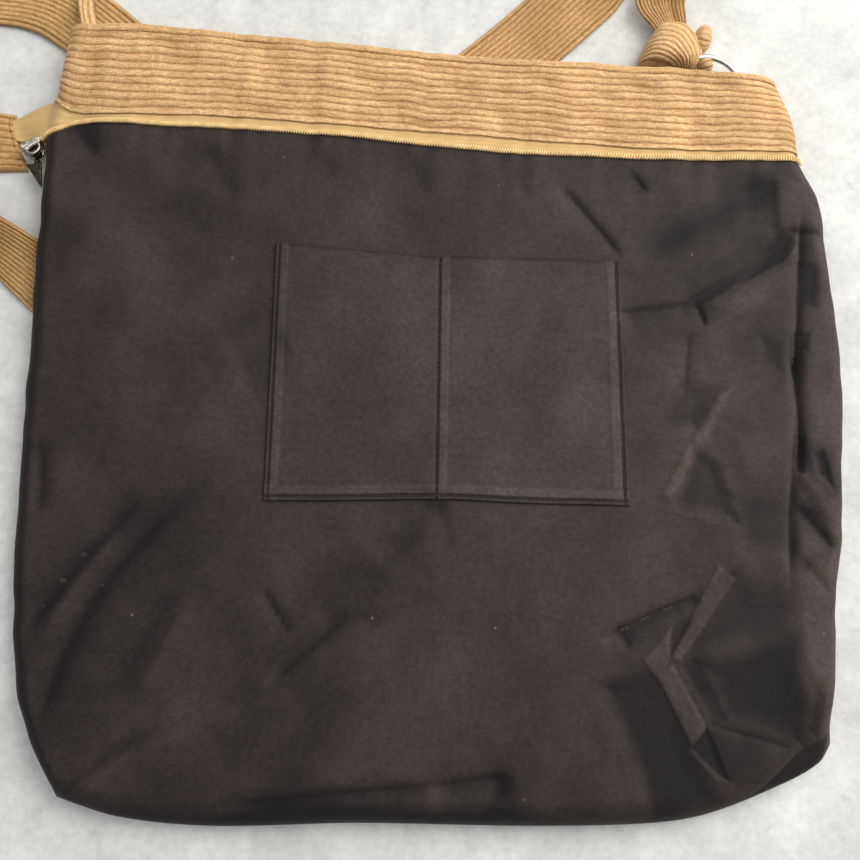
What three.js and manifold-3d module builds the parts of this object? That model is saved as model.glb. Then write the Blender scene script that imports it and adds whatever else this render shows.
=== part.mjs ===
// A corduroy tote bag turned inside out and lying flat, as an assembly of separate cloth and metal pieces.
// Millimetres. +X is to the right of the bag, +Y runs from the bottom to the mouth, +Z is up from the floor.
import * as THREE from "three";
import { mergeVertices } from "three/addons/utils/BufferGeometryUtils.js";
import Module from "manifold-3d";

// Cloth
const LINING_THICKNESS = 1.1;
const CORDUROY_THICKNESS = 1.8;
const TAPE_THICKNESS = 0.6;
const POCKET_THICKNESS = 1.5;
const GAP = 0.3;
const FACING_RISE = 0.7;
const ZIP_RIDGE = 1.1;

// The flattened bag
const SIDE_RADIUS = 9;
const BACK_RADIUS = 7;
const BOTTOM_RADIUS = 13;
const SEAM_GAP = 0.2;
const V_FACING = 0.13;
const V_COIL = 0.15;
const BODY_LENGTH = 330;

// Zip
const COIL_HALF_WIDTH = 1.3;
const COIL_HALF_HEIGHT = 0.8;
const COIL_INSET = 1.5;
const COIL_LIFT = 0.85;
const TAB_BASE = 0.6;
const TAB_HEIGHT = 2.5;
const TAB_BEVEL = 0.5;
const SLIDER = { x: -212.8, y: 140.5, base: 4.6, height: 7, length: 11, depth: 6 };
const SLIDER_TURN = THREE.MathUtils.degToRad(214.7);
const PIN_RADIUS = 0.8;
const PIN_REACH = 5.6;
const ARM_THICKNESS = 0.8;
const EYE_INNER = 1.2;
const EYE_OUTER = 2.3;
const EYE_HEIGHT = 4.6;
const PULLER_LENGTH = 18.5;
const PULLER_THICKNESS = 1.4;
const PULLER_TURN = THREE.MathUtils.degToRad(-81.6);

// Strap, knot, ring and loops
const STRAP_THICKNESS = 3;
const STRAP_FLOOR = 0.15;
const CHANNEL_HEIGHT = 3.8;
const CHANNEL_SHARE = 0.5;
const CHANNEL_FLAT = 30;
const CHANNEL_FADE = 56;
const RING = { x: 138, y: 192, z: 8.6, radius: 17.5, wire: 1.5 };
const RING_TUNNEL = 0.5;
const LOOP_THICKNESS = 1.6;
const LOOP_BEND = 1.0;

const COLOURS = {
  lining: 0x3c3432,
  pocket: 0x483f3d,
  corduroy: 0xc89b64,
  tape: 0xcda55f,
  steel: 0xb9b7b2,
  nickel: 0x8d8778,
  pull: 0x3a372f,
};

// Outline of the lying bag. The side tables run from the bottom corner to the mouth.
const LEFT_EDGE = [
  { y: -176.4, x: -160.2 },
  { y: -165.5, x: -166.9 },
  { y: -137, x: -181.7 },
  { y: -119, x: -186.3 },
  { y: -98, x: -190.3 },
  { y: -60, x: -193.8 },
  { y: 0, x: -197.8 },
  { y: 32, x: -197.6 },
  { y: 60, x: -200.6 },
  { y: 118, x: -203 },
  { y: 152, x: -205.4 },
  { y: 171, x: -201.2 },
  { y: 205.6, x: -198.6 },
];
const RIGHT_EDGE = [
  { y: -137.7, x: 190.4 },
  { y: -127, x: 189.6 },
  { y: -105, x: 193.2 },
  { y: -75, x: 194.4 },
  { y: -44, x: 198.6 },
  { y: 0, x: 200.8 },
  { y: 45, x: 202.2 },
  { y: 72, x: 200 },
  { y: 109, x: 196.1 },
  { y: 129, x: 194.2 },
  { y: 149, x: 184.6 },
  { y: 170, x: 181.7 },
  { y: 194.4, x: 172.6 },
];

// Lines across the bag: the mouth, the lower edge of the facing, the zip coil and the bottom.
const MOUTH_LINE = [
  { x: -198.6, y: 205.6 },
  { x: -164, y: 206 },
  { x: -123, y: 203.9 },
  { x: -77, y: 201.8 },
  { x: -9, y: 195.6 },
  { x: 49, y: 194.5 },
  { x: 106, y: 195.8 },
  { x: 152, y: 195.4 },
  { x: 172.6, y: 194.4 },
];
const FACING_LINE = [
  { x: -202.9, y: 164.6 },
  { x: -199.5, y: 161.6 },
  { x: -194, y: 157.2 },
  { x: -187.5, y: 155.4 },
  { x: -176, y: 155 },
  { x: -116, y: 155.8 },
  { x: -7, y: 151.1 },
  { x: 63, y: 150.2 },
  { x: 120, y: 149.4 },
  { x: 184.6, y: 152.3 },
];
const COIL_LINE = [
  { x: -204.9, y: 145.2 },
  { x: -197, y: 146.9 },
  { x: -191.5, y: 149.1 },
  { x: -185, y: 150.5 },
  { x: -172, y: 150.8 },
  { x: -144, y: 150.2 },
  { x: -101, y: 148.8 },
  { x: -45, y: 146.5 },
  { x: -7, y: 144.1 },
  { x: 63, y: 144.1 },
  { x: 120, y: 144.1 },
  { x: 185, y: 147.9 },
];
const BOTTOM_LINE = [
  { x: -160.3, y: -176.4 },
  { x: -131, y: -183.6 },
  { x: -89, y: -185.6 },
  { x: -25, y: -181.5 },
  { x: 51, y: -179.4 },
  { x: 105, y: -176 },
  { x: 132, y: -171 },
  { x: 164, y: -158 },
  { x: 184, y: -147 },
  { x: 190.7, y: -137.7 },
];
const COURSES = [
  { v: 0, left: 205.6, right: 194.4, line: MOUTH_LINE },
  { v: V_FACING, left: 164.6, right: 152.3, line: FACING_LINE },
  { v: V_COIL, left: 145.2, right: 147.9, line: COIL_LINE },
  { v: 1, left: -176.4, right: -137.7, line: BOTTOM_LINE },
];

// Height of the side fold, and of the upper panel above it, down the bag.
const HEIGHTS = [
  { v: 0, fold: 7.2, side: 9.5, middle: 13 },
  { v: 0.13, fold: 7.2, side: 9.5, middle: 13 },
  { v: 0.3, fold: 6.6, side: 9, middle: 14.5 },
  { v: 0.55, fold: 6.5, side: 9, middle: 16 },
  { v: 0.8, fold: 6.5, side: 9, middle: 15.5 },
  { v: 1, fold: 6.5, side: 8, middle: 11.5 },
];

// Main folds of the upper lining panel: valleys have a depth above zero, ridges below it.
const FOLDS = [
  { name: "right tuck", x1: 120, y1: 65, x2: 176, y2: 109, depth: 4, width: 11 },
  { name: "upper right valley", x1: 168, y1: 138, x2: 102, y2: 92, depth: 2, width: 13 },
  { name: "side strip", x1: 179, y1: 100, x2: 174, y2: -98, depth: 2.6, width: 9 },
  { name: "lower right crease", x1: 86, y1: -94, x2: 144, y2: -66, depth: 2.6, width: 10 },
  { name: "lower right ridge", x1: 143, y1: -68, x2: 114, y2: -104, depth: -2.6, width: 9 },
  { name: "corner ridge", x1: 110, y1: -107, x2: 127, y2: -137, depth: -3, width: 8 },
  { name: "corner valley", x1: 131, y1: -128, x2: 141, y2: -156, depth: 4, width: 10 },
  { name: "left valley", x1: -136, y1: -49, x2: -177, y2: -97, depth: 2.4, width: 11 },
  { name: "left long valley", x1: -111, y1: -45, x2: -165, y2: -130, depth: 2.4, width: 12 },
  { name: "left corner fold", x1: -124, y1: -152, x2: -155, y2: -172, depth: 2.6, width: 10 },
  { name: "bottom fold", x1: -87, y1: -176, x2: 40, y2: -160, depth: 2.2, width: 10 },
];

// The strap from the knot, under the bag, round the left side to its free end.
const STRAP_ROWS = [
  { x: 117.5, y: 232, lift: 6.5, bank: 0, width: 21 },
  { x: 114, y: 241, lift: 6, bank: -10, width: 27 },
  { x: 113.5, y: 252, lift: 3.6, bank: -34, width: 33 },
  { x: 108, y: 264, lift: 1, bank: -54, width: 37 },
  { x: 97, y: 269, lift: 0, bank: -58, width: 39 },
  { x: 85, y: 260, lift: 0, bank: -34, width: 39 },
  { x: 69, y: 245, lift: 0, bank: -5, width: 39 },
  { x: 34, y: 209, lift: 0, bank: 0, width: 39 },
  { x: -8, y: 171, lift: 0, bank: 0, width: 39 },
  { x: -52, y: 144, lift: 0, bank: 0, width: 39 },
  { x: -98, y: 141, lift: 0, bank: 0, width: 39 },
  { x: -138, y: 163, lift: 0, bank: 0, width: 39 },
  { x: -167, y: 193, lift: 0, bank: 0, width: 39 },
  { x: -193, y: 215, lift: 0, bank: 0, width: 39 },
  { x: -218, y: 229.5, lift: 0, bank: 0, width: 39 },
  { x: -246, y: 233.5, lift: 0, bank: -4, width: 39 },
  { x: -276, y: 228, lift: 0, bank: -30, width: 39 },
  { x: -299, y: 208, lift: 0, bank: -54, width: 39 },
  { x: -307, y: 178, lift: 0, bank: -58, width: 39 },
  { x: -297.5, y: 148.5, lift: 0, bank: -52, width: 38 },
  { x: -277, y: 123.5, lift: 0, bank: -24, width: 36 },
  { x: -252, y: 105.5, lift: 0, bank: 10, width: 34 },
  { x: -230, y: 90.5, lift: 0, bank: 26, width: 32 },
  { x: -215, y: 80, lift: 0, bank: 6, width: 31 },
  { x: -205, y: 73.3, lift: 0, bank: 0, width: 31 },
  { x: -195, y: 66.5, lift: 0, bank: 0, width: 33 },
  { x: -182, y: 57, lift: 0, bank: 0, width: 36 },
];

// The zip tape's end beyond the left side fold, between its upper and lower edges.
const TAPE_TAIL = [
  { ux: -206.6, uy: 164, lx: -208, ly: 147.6, z: 9.4 },
  { ux: -212, uy: 162.8, lx: -210.6, ly: 147.4, z: 7.8 },
  { ux: -219, uy: 160.4, lx: -214.5, ly: 146, z: 5.4 },
  { ux: -225.4, uy: 158.2, lx: -218.6, ly: 144, z: 3 },
];
const TAIL_DROP = 2.2;
const TAB_CORNERS = [
  { x: -226.4, y: 159.6 },
  { x: -250, y: 162 },
  { x: -248, y: 127.5 },
  { x: -217, y: 129 },
  { x: -218.8, y: 143 },
];

// The pocket's outline in plan: its upper and lower edges from left to right.
const POCKET_EDGES = [
  { t: 0, topX: -80.1, topY: 87.8, bottomX: -76, bottomY: -40.4 },
  { t: 0.25, topX: -40, topY: 85.8, bottomX: -36, bottomY: -38.6 },
  { t: 0.5, topX: 1, topY: 84.2, bottomX: 4.3, bottomY: -36.1 },
  { t: 0.75, topX: 45, topY: 85.4, bottomX: 46, bottomY: -36 },
  { t: 1, topX: 89.6, topY: 86.4, bottomX: 94.6, bottomY: -34.8 },
];

// The narrow loop that stands out of the mouth at the left, from its sewn end to its bend.
const MOUTH_LOOP_ROWS = [
  { x: -187, y: 184, z: 10.2 },
  { x: -188.4, y: 200, z: 10.3 },
  { x: -190.4, y: 210, z: 10.4 },
  { x: -193.6, y: 220, z: 9 },
  { x: -196, y: 230, z: 6.6 },
  { x: -196.6, y: 241, z: 5.5 },
];
const MOUTH_LOOP_WIDTH = 8.4;

const wasm = await Module();
wasm.setup();

const clamp = (value, low, high) => Math.min(Math.max(value, low), high);
const mix = (a, b, t) => a + (b - a) * t;

function smooth(low, high, value) {
  const t = clamp((value - low) / (high - low), 0, 1);
  return t * t * (3 - 2 * t);
}

// A column of a table at a place between its rows, by a smooth curve through the rows.
function read(rows, place, column, at) {
  const last = rows.length - 1;
  let i = 0;
  while (i < last - 1 && at > rows[i + 1][place]) i++;
  const slope = (k) => {
    const before = rows[Math.max(k - 1, 0)];
    const after = rows[Math.min(k + 1, last)];
    return (after[column] - before[column]) / (after[place] - before[place]);
  };
  const span = rows[i + 1][place] - rows[i][place];
  const t = clamp((at - rows[i][place]) / span, 0, 1);
  const a = rows[i][column];
  const b = rows[i + 1][column];
  const bend = t * (1 - t);
  const straight = (b - a) / span;
  const curve = (slope(i) - straight) * (1 - t) - (slope(i + 1) - straight) * t;
  return mix(a, b, t) + bend * span * curve;
}

// Where the point (u, v) of the bag lies in plan: u runs from left to right, v from mouth to bottom.
function plan(u, v) {
  let k = 0;
  while (k < COURSES.length - 2 && v > COURSES[k + 1].v) k++;
  const above = COURSES[k];
  const below = COURSES[k + 1];
  const t = clamp((v - above.v) / (below.v - above.v), 0, 1);
  const leftY = mix(above.left, below.left, t);
  const rightY = mix(above.right, below.right, t);
  const leftX = read(LEFT_EDGE, "y", "x", leftY);
  const rightX = read(RIGHT_EDGE, "y", "x", rightY);
  const sag = (course) => {
    const start = read(LEFT_EDGE, "y", "x", course.left);
    const end = read(RIGHT_EDGE, "y", "x", course.right);
    return read(course.line, "x", "y", mix(start, end, u)) - mix(course.left, course.right, u);
  };
  return {
    x: mix(leftX, rightX, u),
    y: mix(leftY, rightY, u) + mix(sag(above), sag(below), t),
    width: rightX - leftX,
  };
}

// How far a rounded edge has risen, 0 at the edge and 1 from its radius inwards.
function rounded(distance, radius) {
  const t = 1 - clamp(distance / radius, 0, 1);
  return Math.sqrt(1 - t * t);
}

function edgeRise(u, v, width, sideRadius, bottomRadius) {
  const left = rounded(u * width, sideRadius);
  const right = rounded((1 - u) * width, sideRadius);
  const bottom = rounded(((1 - v) / (1 - V_COIL)) * BODY_LENGTH, bottomRadius);
  return left * right * bottom;
}

// How far the folds push the upper lining panel down at a place in plan.
function foldDepth(x, y) {
  let sum = 0;
  for (const fold of FOLDS) {
    const dx = fold.x2 - fold.x1;
    const dy = fold.y2 - fold.y1;
    const length = Math.hypot(dx, dy);
    const along = ((x - fold.x1) * dx + (y - fold.y1) * dy) / length;
    const aside = ((x - fold.x1) * dy - (y - fold.y1) * dx) / length;
    const ends = smooth(-0.1, 0.2, along / length) * smooth(-0.1, 0.2, 1 - along / length);
    sum += fold.depth * ends * Math.exp(-((aside / fold.width) ** 2));
  }
  return sum;
}

// The strap's centre line, resampled smoothly between its rows.
function strapPath(samples) {
  const rows = STRAP_ROWS.map((row, i) => ({ ...row, i }));
  const list = [];
  for (let k = 0; k <= samples; k++) {
    const at = (k / samples) * (rows.length - 1);
    const place = {};
    for (const column of ["x", "y", "lift", "bank", "width"]) place[column] = read(rows, "i", column, at);
    list.push(place);
  }
  return list;
}
const STRAP_TRACE = strapPath(120).filter((place) => place.lift < 0.2);

// How far the panel on the floor is raised where the strap runs under it.
function channel(x, y) {
  let nearest = Infinity;
  for (const place of STRAP_TRACE) nearest = Math.min(nearest, Math.hypot(place.x - x, place.y - y));
  return CHANNEL_HEIGHT * (1 - smooth(CHANNEL_FLAT, CHANNEL_FADE, nearest));
}

// The outer face of the lining: the upper panel is side 1, the panel on the floor side -1.
function skin(side, u, v) {
  const place = plan(u, v);
  const raised = channel(place.x, place.y);
  const fold = read(HEIGHTS, "v", "fold", v) + CHANNEL_SHARE * raised;
  if (side > 0) {
    const rise = edgeRise(u, v, place.width, SIDE_RADIUS, BOTTOM_RADIUS);
    const sideHeight = read(HEIGHTS, "v", "side", v);
    const middle = read(HEIGHTS, "v", "middle", v);
    const crown = mix(sideHeight, middle, 4 * u * (1 - u));
    const folds = foldDepth(place.x, place.y) * smooth(0.16, 0.24, v);
    return new THREE.Vector3(place.x, place.y, fold + SEAM_GAP + (crown - folds) * rise);
  }
  const rise = edgeRise(u, v, place.width, BACK_RADIUS, BACK_RADIUS);
  const below = 1 - smooth(V_COIL, 0.22, v);
  const rest = (FACING_RISE + ZIP_RIDGE * smooth(0.07, V_FACING, v)) * below + raised;
  return new THREE.Vector3(place.x, place.y, mix(fold - SEAM_GAP, rest, rise));
}

// The direction straight out of the bag. On the side folds and the bottom edge it is level.
function outward(side, u, v) {
  const step = 1e-5;
  const u0 = clamp(u - step, 0, 1);
  const u1 = clamp(u + step, 0, 1);
  const v0 = clamp(v - step, 0, 1);
  const v1 = clamp(v + step, 0, 1);
  const across = skin(side, u1, v).sub(skin(side, u0, v)).divideScalar(u1 - u0);
  const down = skin(side, u, v1).sub(skin(side, u, v0)).divideScalar(v1 - v0);
  const onEdge = u === 0 || u === 1 || v === 1;
  if (!onEdge) return down.cross(across).multiplyScalar(side).normalize();
  const acrossFlat = new THREE.Vector3(0, 0, 0);
  if (u === 0) acrossFlat.x -= 1;
  if (u === 1) acrossFlat.x += 1;
  if (v === 1) acrossFlat.y -= 1;
  return acrossFlat.normalize();
}

// Makes a closed surface face outwards and gives it normals.
function finish(points, triangles) {
  const geometry = new THREE.BufferGeometry();
  let volume = 0;
  for (let i = 0; i < triangles.length; i += 3) {
    const [a, b, c] = [points[triangles[i]], points[triangles[i + 1]], points[triangles[i + 2]]];
    volume += a.dot(b.clone().cross(c));
  }
  if (volume < 0) triangles.reverse();
  geometry.setFromPoints(points);
  geometry.setIndex(triangles);
  geometry.computeVertexNormals();
  return geometry;
}

// A plate between two grids of points of the same size.
function plate(top, under) {
  const rows = top.length;
  const columns = top[0].length;
  const points = [...top.flat(), ...under.flat()];
  const half = rows * columns;
  const triangles = [];
  const quad = (a, b, c, d) => triangles.push(a, b, c, a, c, d);
  for (let i = 0; i < rows - 1; i++) {
    for (let j = 0; j < columns - 1; j++) {
      const a = i * columns + j;
      quad(a, a + 1, a + columns + 1, a + columns);
      quad(half + a, half + a + columns, half + a + columns + 1, half + a + 1);
    }
  }
  const rim = [];
  for (let j = 0; j < columns; j++) rim.push(j);
  for (let i = 1; i < rows; i++) rim.push(i * columns + columns - 1);
  for (let j = columns - 2; j >= 0; j--) rim.push((rows - 1) * columns + j);
  for (let i = rows - 2; i > 0; i--) rim.push(i * columns);
  rim.forEach((a, k) => {
    const b = rim[(k + 1) % rim.length];
    quad(a, half + a, half + b, b);
  });
  return finish(points, triangles);
}

// A panel of the bag between two distances from the lining's outer face.
function panel(side, us, vs, outer, inner) {
  const layer = (distance) =>
    vs.map((v) => us.map((u) => skin(side, u, v).addScaledVector(outward(side, u, v), distance)));
  return plate(layer(outer), layer(inner));
}

// A rod whose cross-sections are given as lists of points, closed at both ends.
function rod(sections) {
  const count = sections[0].length;
  const points = sections.flat();
  const triangles = [];
  for (let i = 0; i < sections.length - 1; i++) {
    for (let j = 0; j < count; j++) {
      const a = i * count + j;
      const b = i * count + ((j + 1) % count);
      triangles.push(a, b, b + count, a, b + count, a + count);
    }
  }
  const end = (sections.length - 1) * count;
  for (let j = 1; j < count - 1; j++) {
    triangles.push(0, j + 1, j);
    triangles.push(end, end + j, end + j + 1);
  }
  return finish(points, triangles);
}

// A flat strip along a list of places with a centre, a direction across and a width.
function strip(places, thickness, edge) {
  const sections = places.map((place, i) => {
    const before = places[Math.max(i - 1, 0)].centre;
    const after = places[Math.min(i + 1, places.length - 1)].centre;
    const along = after.clone().sub(before).normalize();
    const up = along.cross(place.across).normalize();
    const half = place.width / 2;
    const corners = [
      [-half, 0],
      [-half + edge, thickness / 2],
      [half - edge, thickness / 2],
      [half, 0],
      [half - edge, -thickness / 2],
      [-half + edge, -thickness / 2],
    ];
    return corners.map(([a, b]) => place.centre.clone().addScaledVector(place.across, a).addScaledVector(up, b));
  });
  return rod(sections);
}

function toSolid(geometry) {
  const bare = geometry.clone();
  bare.deleteAttribute("normal");
  bare.deleteAttribute("uv");
  const merged = mergeVertices(bare, 1e-4);
  const mesh = new wasm.Mesh({
    numProp: 3,
    vertProperties: new Float32Array(merged.attributes.position.array),
    triVerts: new Uint32Array(merged.index.array),
  });
  return new wasm.Manifold(mesh);
}

function fromSolid(solid) {
  const mesh = solid.getMesh();
  const geometry = new THREE.BufferGeometry();
  geometry.setAttribute("position", new THREE.BufferAttribute(mesh.vertProperties, 3));
  geometry.setIndex(new THREE.BufferAttribute(mesh.triVerts, 1));
  geometry.computeVertexNormals();
  return geometry;
}

function join(list) {
  return list.map(toSolid).reduce((sum, solid) => sum.add(solid));
}

function material(colour, roughness, metalness) {
  return new THREE.MeshStandardMaterial({ color: colour, roughness, metalness });
}

const bag = new THREE.Group();
function addPiece(name, geometry, colour, roughness = 0.9, metalness = 0) {
  const mesh = new THREE.Mesh(geometry, material(colour, roughness, metalness));
  mesh.name = name;
  bag.add(mesh);
  return mesh;
}

// Panels of the bag. All layers share their places across and down, so that they stay parallel.
const US = [0, 0.0035, 0.011, 0.024];
for (let k = 1; k < 14; k++) US.push(mix(0.024, 0.976, k / 14));
US.push(0.976, 0.989, 0.9965, 1);
const BAND_VS = [0, 0.045, 0.09, V_FACING - 0.002];
const BODY_VS = [V_COIL + 0.002];
for (let k = 1; k < 13; k++) BODY_VS.push(mix(V_COIL + 0.002, 0.966, k / 13));
BODY_VS.push(0.966, 0.985, 0.996, 1);
const SHELL_VS = [...BAND_VS, ...BODY_VS];
const SHELL_TOP = -LINING_THICKNESS - GAP;
const FACING_UNDER = FACING_RISE - CORDUROY_THICKNESS;

for (const [name, side] of [["front", 1], ["back", -1]]) {
  addPiece(`lining_${name}`, panel(side, US, BODY_VS, 0, -LINING_THICKNESS), COLOURS.lining, 0.75);
  addPiece(`facing_${name}`, panel(side, US, BAND_VS, FACING_RISE, FACING_UNDER), COLOURS.corduroy, 0.95);
  const shell = panel(side, US, SHELL_VS, SHELL_TOP, SHELL_TOP - CORDUROY_THICKNESS);
  addPiece(`shell_${name}`, shell, COLOURS.corduroy, 0.95);
}

// The two zip halves: each tape lies between the facing and the lining and leaves the bag at the left.
const ZIP_US = US.slice(1, -2).reverse();
const V_TAPE_TOP = V_FACING + 0.001;
const V_TAPE_END = V_COIL - 0.001;

function tapeColumns(side) {
  const columns = ZIP_US.map((u) => {
    const out = outward(side, u, (V_TAPE_TOP + V_TAPE_END) / 2);
    return { upper: skin(side, u, V_TAPE_TOP), lower: skin(side, u, V_TAPE_END), out };
  });
  for (const row of TAPE_TAIL) {
    const z = row.z - (side > 0 ? 0 : TAIL_DROP);
    const upper = new THREE.Vector3(row.ux, row.uy, z);
    const lower = new THREE.Vector3(row.lx, row.ly, z);
    columns.push({ upper, lower, out: new THREE.Vector3(-0.25, 0, side * 0.97) });
  }
  return columns;
}

for (const [name, side] of [["front", 1], ["back", -1]]) {
  const columns = tapeColumns(side);
  const layer = (distance) => [
    columns.map((column) => column.upper.clone().addScaledVector(column.out, distance)),
    columns.map((column) => column.lower.clone().addScaledVector(column.out, distance)),
  ];
  const sunk = -GAP;
  addPiece(`zip_tape_${name}`, plate(layer(sunk), layer(sunk - TAPE_THICKNESS)), COLOURS.tape, 0.8);
  const sides = 6;
  const sections = columns.slice(0, -1).map((column) => {
    const towards = column.upper.clone().sub(column.lower).normalize();
    const centre = column.lower.clone().addScaledVector(towards, COIL_INSET);
    centre.addScaledVector(column.out, COIL_LIFT);
    const ring = [];
    for (let k = 0; k < sides; k++) {
      const angle = (2 * Math.PI * k) / sides;
      const point = centre.clone().addScaledVector(towards, COIL_HALF_WIDTH * Math.cos(angle));
      ring.push(point.addScaledVector(column.out, COIL_HALF_HEIGHT * Math.sin(angle)));
    }
    return ring;
  });
  addPiece(`zip_coil_${name}`, rod(sections), COLOURS.tape, 0.5);
}

// The corduroy tab on the zip's end.
const tabShape = new THREE.Shape(TAB_CORNERS.map((corner) => new THREE.Vector2(corner.x, corner.y)));
const tabOptions = {
  depth: TAB_HEIGHT,
  bevelEnabled: true,
  bevelThickness: TAB_BEVEL,
  bevelSize: TAB_BEVEL,
  bevelOffset: -TAB_BEVEL,
  bevelSegments: 2,
};
const tab = new THREE.ExtrudeGeometry(tabShape, tabOptions).translate(0, 0, TAB_BASE + TAB_BEVEL);
addPiece("zip_end_tab", tab, COLOURS.corduroy, 0.95);

// The metal slider, its bracket and pin, and the pull that swings on the pin.
function roundedRectangle(width, height, radius) {
  const x = width / 2 - radius;
  const y = height / 2 - radius;
  const shape = new THREE.Shape();
  shape.absarc(x, y, radius, 0, Math.PI / 2);
  shape.absarc(-x, y, radius, Math.PI / 2, Math.PI);
  shape.absarc(-x, -y, radius, Math.PI, Math.PI * 1.5);
  shape.absarc(x, -y, radius, Math.PI * 1.5, Math.PI * 2);
  return shape;
}

function box(sx, sy, sz, x, y, z) {
  return new THREE.BoxGeometry(sx, sy, sz).translate(x, y, z);
}

const sliderMiddle = SLIDER.height / 2;
const body = new THREE.ExtrudeGeometry(roundedRectangle(SLIDER.depth, SLIDER.height, 1.6), {
  depth: SLIDER.length - 2,
  curveSegments: 3,
  bevelEnabled: true,
  bevelThickness: 1,
  bevelSize: 1,
  bevelOffset: -1,
  bevelSegments: 2,
});
body.translate(0, 0, 1 - SLIDER.length / 2).rotateX(Math.PI / 2).rotateZ(Math.PI / 2);
body.translate(0, 0, sliderMiddle);
const armLength = PIN_REACH - SLIDER.depth / 2 + 2;
const armY = PIN_REACH - armLength / 2 + 0.8;
const pin = new THREE.CylinderGeometry(PIN_RADIUS, PIN_RADIUS, SLIDER.height - 0.4, 16);
pin.rotateX(Math.PI / 2).translate(0, PIN_REACH, sliderMiddle);
const bracket = [
  body,
  pin,
  box(2.6, armLength, ARM_THICKNESS, 0, armY, ARM_THICKNESS / 2),
  box(2.6, armLength, ARM_THICKNESS, 0, armY, SLIDER.height - ARM_THICKNESS / 2),
];
const slit = box(SLIDER.length + 1, 1, 3.2, 0, 0, SLIDER.height);
const slider = fromSolid(join(bracket).subtract(toSolid(slit)));
const sliderMesh = addPiece("zip_slider", slider, COLOURS.nickel, 0.35, 1);
sliderMesh.position.set(SLIDER.x, SLIDER.y, SLIDER.base);
sliderMesh.rotation.z = SLIDER_TURN;

const eye = new THREE.Shape();
eye.absarc(0, 0, EYE_OUTER, 0, Math.PI * 2);
const eyeHole = new THREE.Path();
eyeHole.absarc(0, 0, EYE_INNER, 0, Math.PI * 2, true);
eye.holes.push(eyeHole);
const eyeRing = new THREE.ExtrudeGeometry(eye, { depth: EYE_HEIGHT, curveSegments: 10, bevelEnabled: false });
const bladeLength = PULLER_LENGTH - EYE_INNER - 0.5;
const blade = new THREE.ExtrudeGeometry(roundedRectangle(bladeLength, EYE_HEIGHT, 1.2), {
  depth: PULLER_THICKNESS,
  curveSegments: 4,
  bevelEnabled: false,
});
blade.rotateX(Math.PI / 2);
blade.translate(PULLER_LENGTH - bladeLength / 2, PULLER_THICKNESS / 2, EYE_HEIGHT / 2);
const puller = fromSolid(join([eyeRing, blade]));
const pullerMesh = addPiece("zip_puller", puller, COLOURS.pull, 0.4, 1);
const pinPlace = new THREE.Vector3(0, PIN_REACH, 0).applyAxisAngle(new THREE.Vector3(0, 0, 1), SLIDER_TURN);
const pullerBase = SLIDER.base + (SLIDER.height - EYE_HEIGHT) / 2;
pullerMesh.position.set(SLIDER.x + pinPlace.x, SLIDER.y + pinPlace.y, pullerBase);
pullerMesh.rotation.z = PULLER_TURN;

// The pocket lies just above the upper lining panel.
function placeOnBag(x, y) {
  let u = 0.5;
  let v = 0.5;
  for (let k = 0; k < 12; k++) {
    const at = plan(u, v);
    u = clamp(u + (x - at.x) / at.width, 0, 1);
    v = clamp(v - ((y - at.y) / BODY_LENGTH) * (1 - V_COIL), 0, 1);
  }
  return { u, v };
}

function pocketLayer(distance) {
  const rows = [];
  for (let i = 0; i <= 7; i++) {
    const row = [];
    for (let j = 0; j <= 10; j++) {
      const t = j / 10;
      const edge = (column) => read(POCKET_EDGES, "t", column, t);
      const x = mix(edge("topX"), edge("bottomX"), i / 7);
      const y = mix(edge("topY"), edge("bottomY"), i / 7);
      const { u, v } = placeOnBag(x, y);
      row.push(skin(1, u, v).addScaledVector(outward(1, u, v), distance));
    }
    rows.push(row);
  }
  return rows;
}
const POCKET_FOOT = GAP + 0.4;
const pocket = plate(pocketLayer(POCKET_FOOT + POCKET_THICKNESS), pocketLayer(POCKET_FOOT));
addPiece("pocket", pocket, COLOURS.pocket, 0.75);

// The strap: it lies flat under the bag and stands on its edge where it turns.
const strapPlaces = strapPath(62).map((place, i, list) => {
  const before = list[Math.max(i - 1, 0)];
  const after = list[Math.min(i + 1, list.length - 1)];
  const heading = Math.atan2(after.y - before.y, after.x - before.x);
  const bank = THREE.MathUtils.degToRad(place.bank);
  const across = new THREE.Vector3(
    -Math.sin(heading) * Math.cos(bank),
    Math.cos(heading) * Math.cos(bank),
    Math.sin(bank),
  );
  const rest = (STRAP_THICKNESS / 2) * Math.cos(bank) + (place.width / 2) * Math.abs(Math.sin(bank));
  const centre = new THREE.Vector3(place.x, place.y, STRAP_FLOOR + place.lift + rest);
  return { centre, across, width: place.width };
});
addPiece("strap", strip(strapPlaces, STRAP_THICKNESS, 1), COLOURS.corduroy, 0.95);

// The knot: a thick wrap bent over the ring, with the bundle it holds and the strap's short end.
const KNOT_ROWS = [
  { angle: 188, radius: 6.4, height: 7.2, z: 9.6 },
  { angle: 160, radius: 7, height: 8.6, z: 10.8 },
  { angle: 125, radius: 8.4, height: 9.4, z: 11.4 },
  { angle: 90, radius: 9, height: 9.6, z: 11.6 },
  { angle: 55, radius: 8.4, height: 9.4, z: 11.4 },
  { angle: 20, radius: 7, height: 8.6, z: 10.8 },
  { angle: -8, radius: 6.4, height: 7.2, z: 9.6 },
];
const KNOT = { x: 118.2, y: 206.6, halfWidth: 11.4, halfHeight: 14.4 };
const KNOT_LUMPS = [
  { name: "bundle", x: 118.2, y: 208, z: 9.5, rx: 8, ry: 8, rz: 7.5 },
  { name: "short end", x: 134, y: 219, z: 11, rx: 5.2, ry: 7.6, rz: 6 },
  { name: "end under the ring", x: 134.6, y: 205, z: 8.6, rx: 4.6, ry: 4.2, rz: 5 },
];

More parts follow.
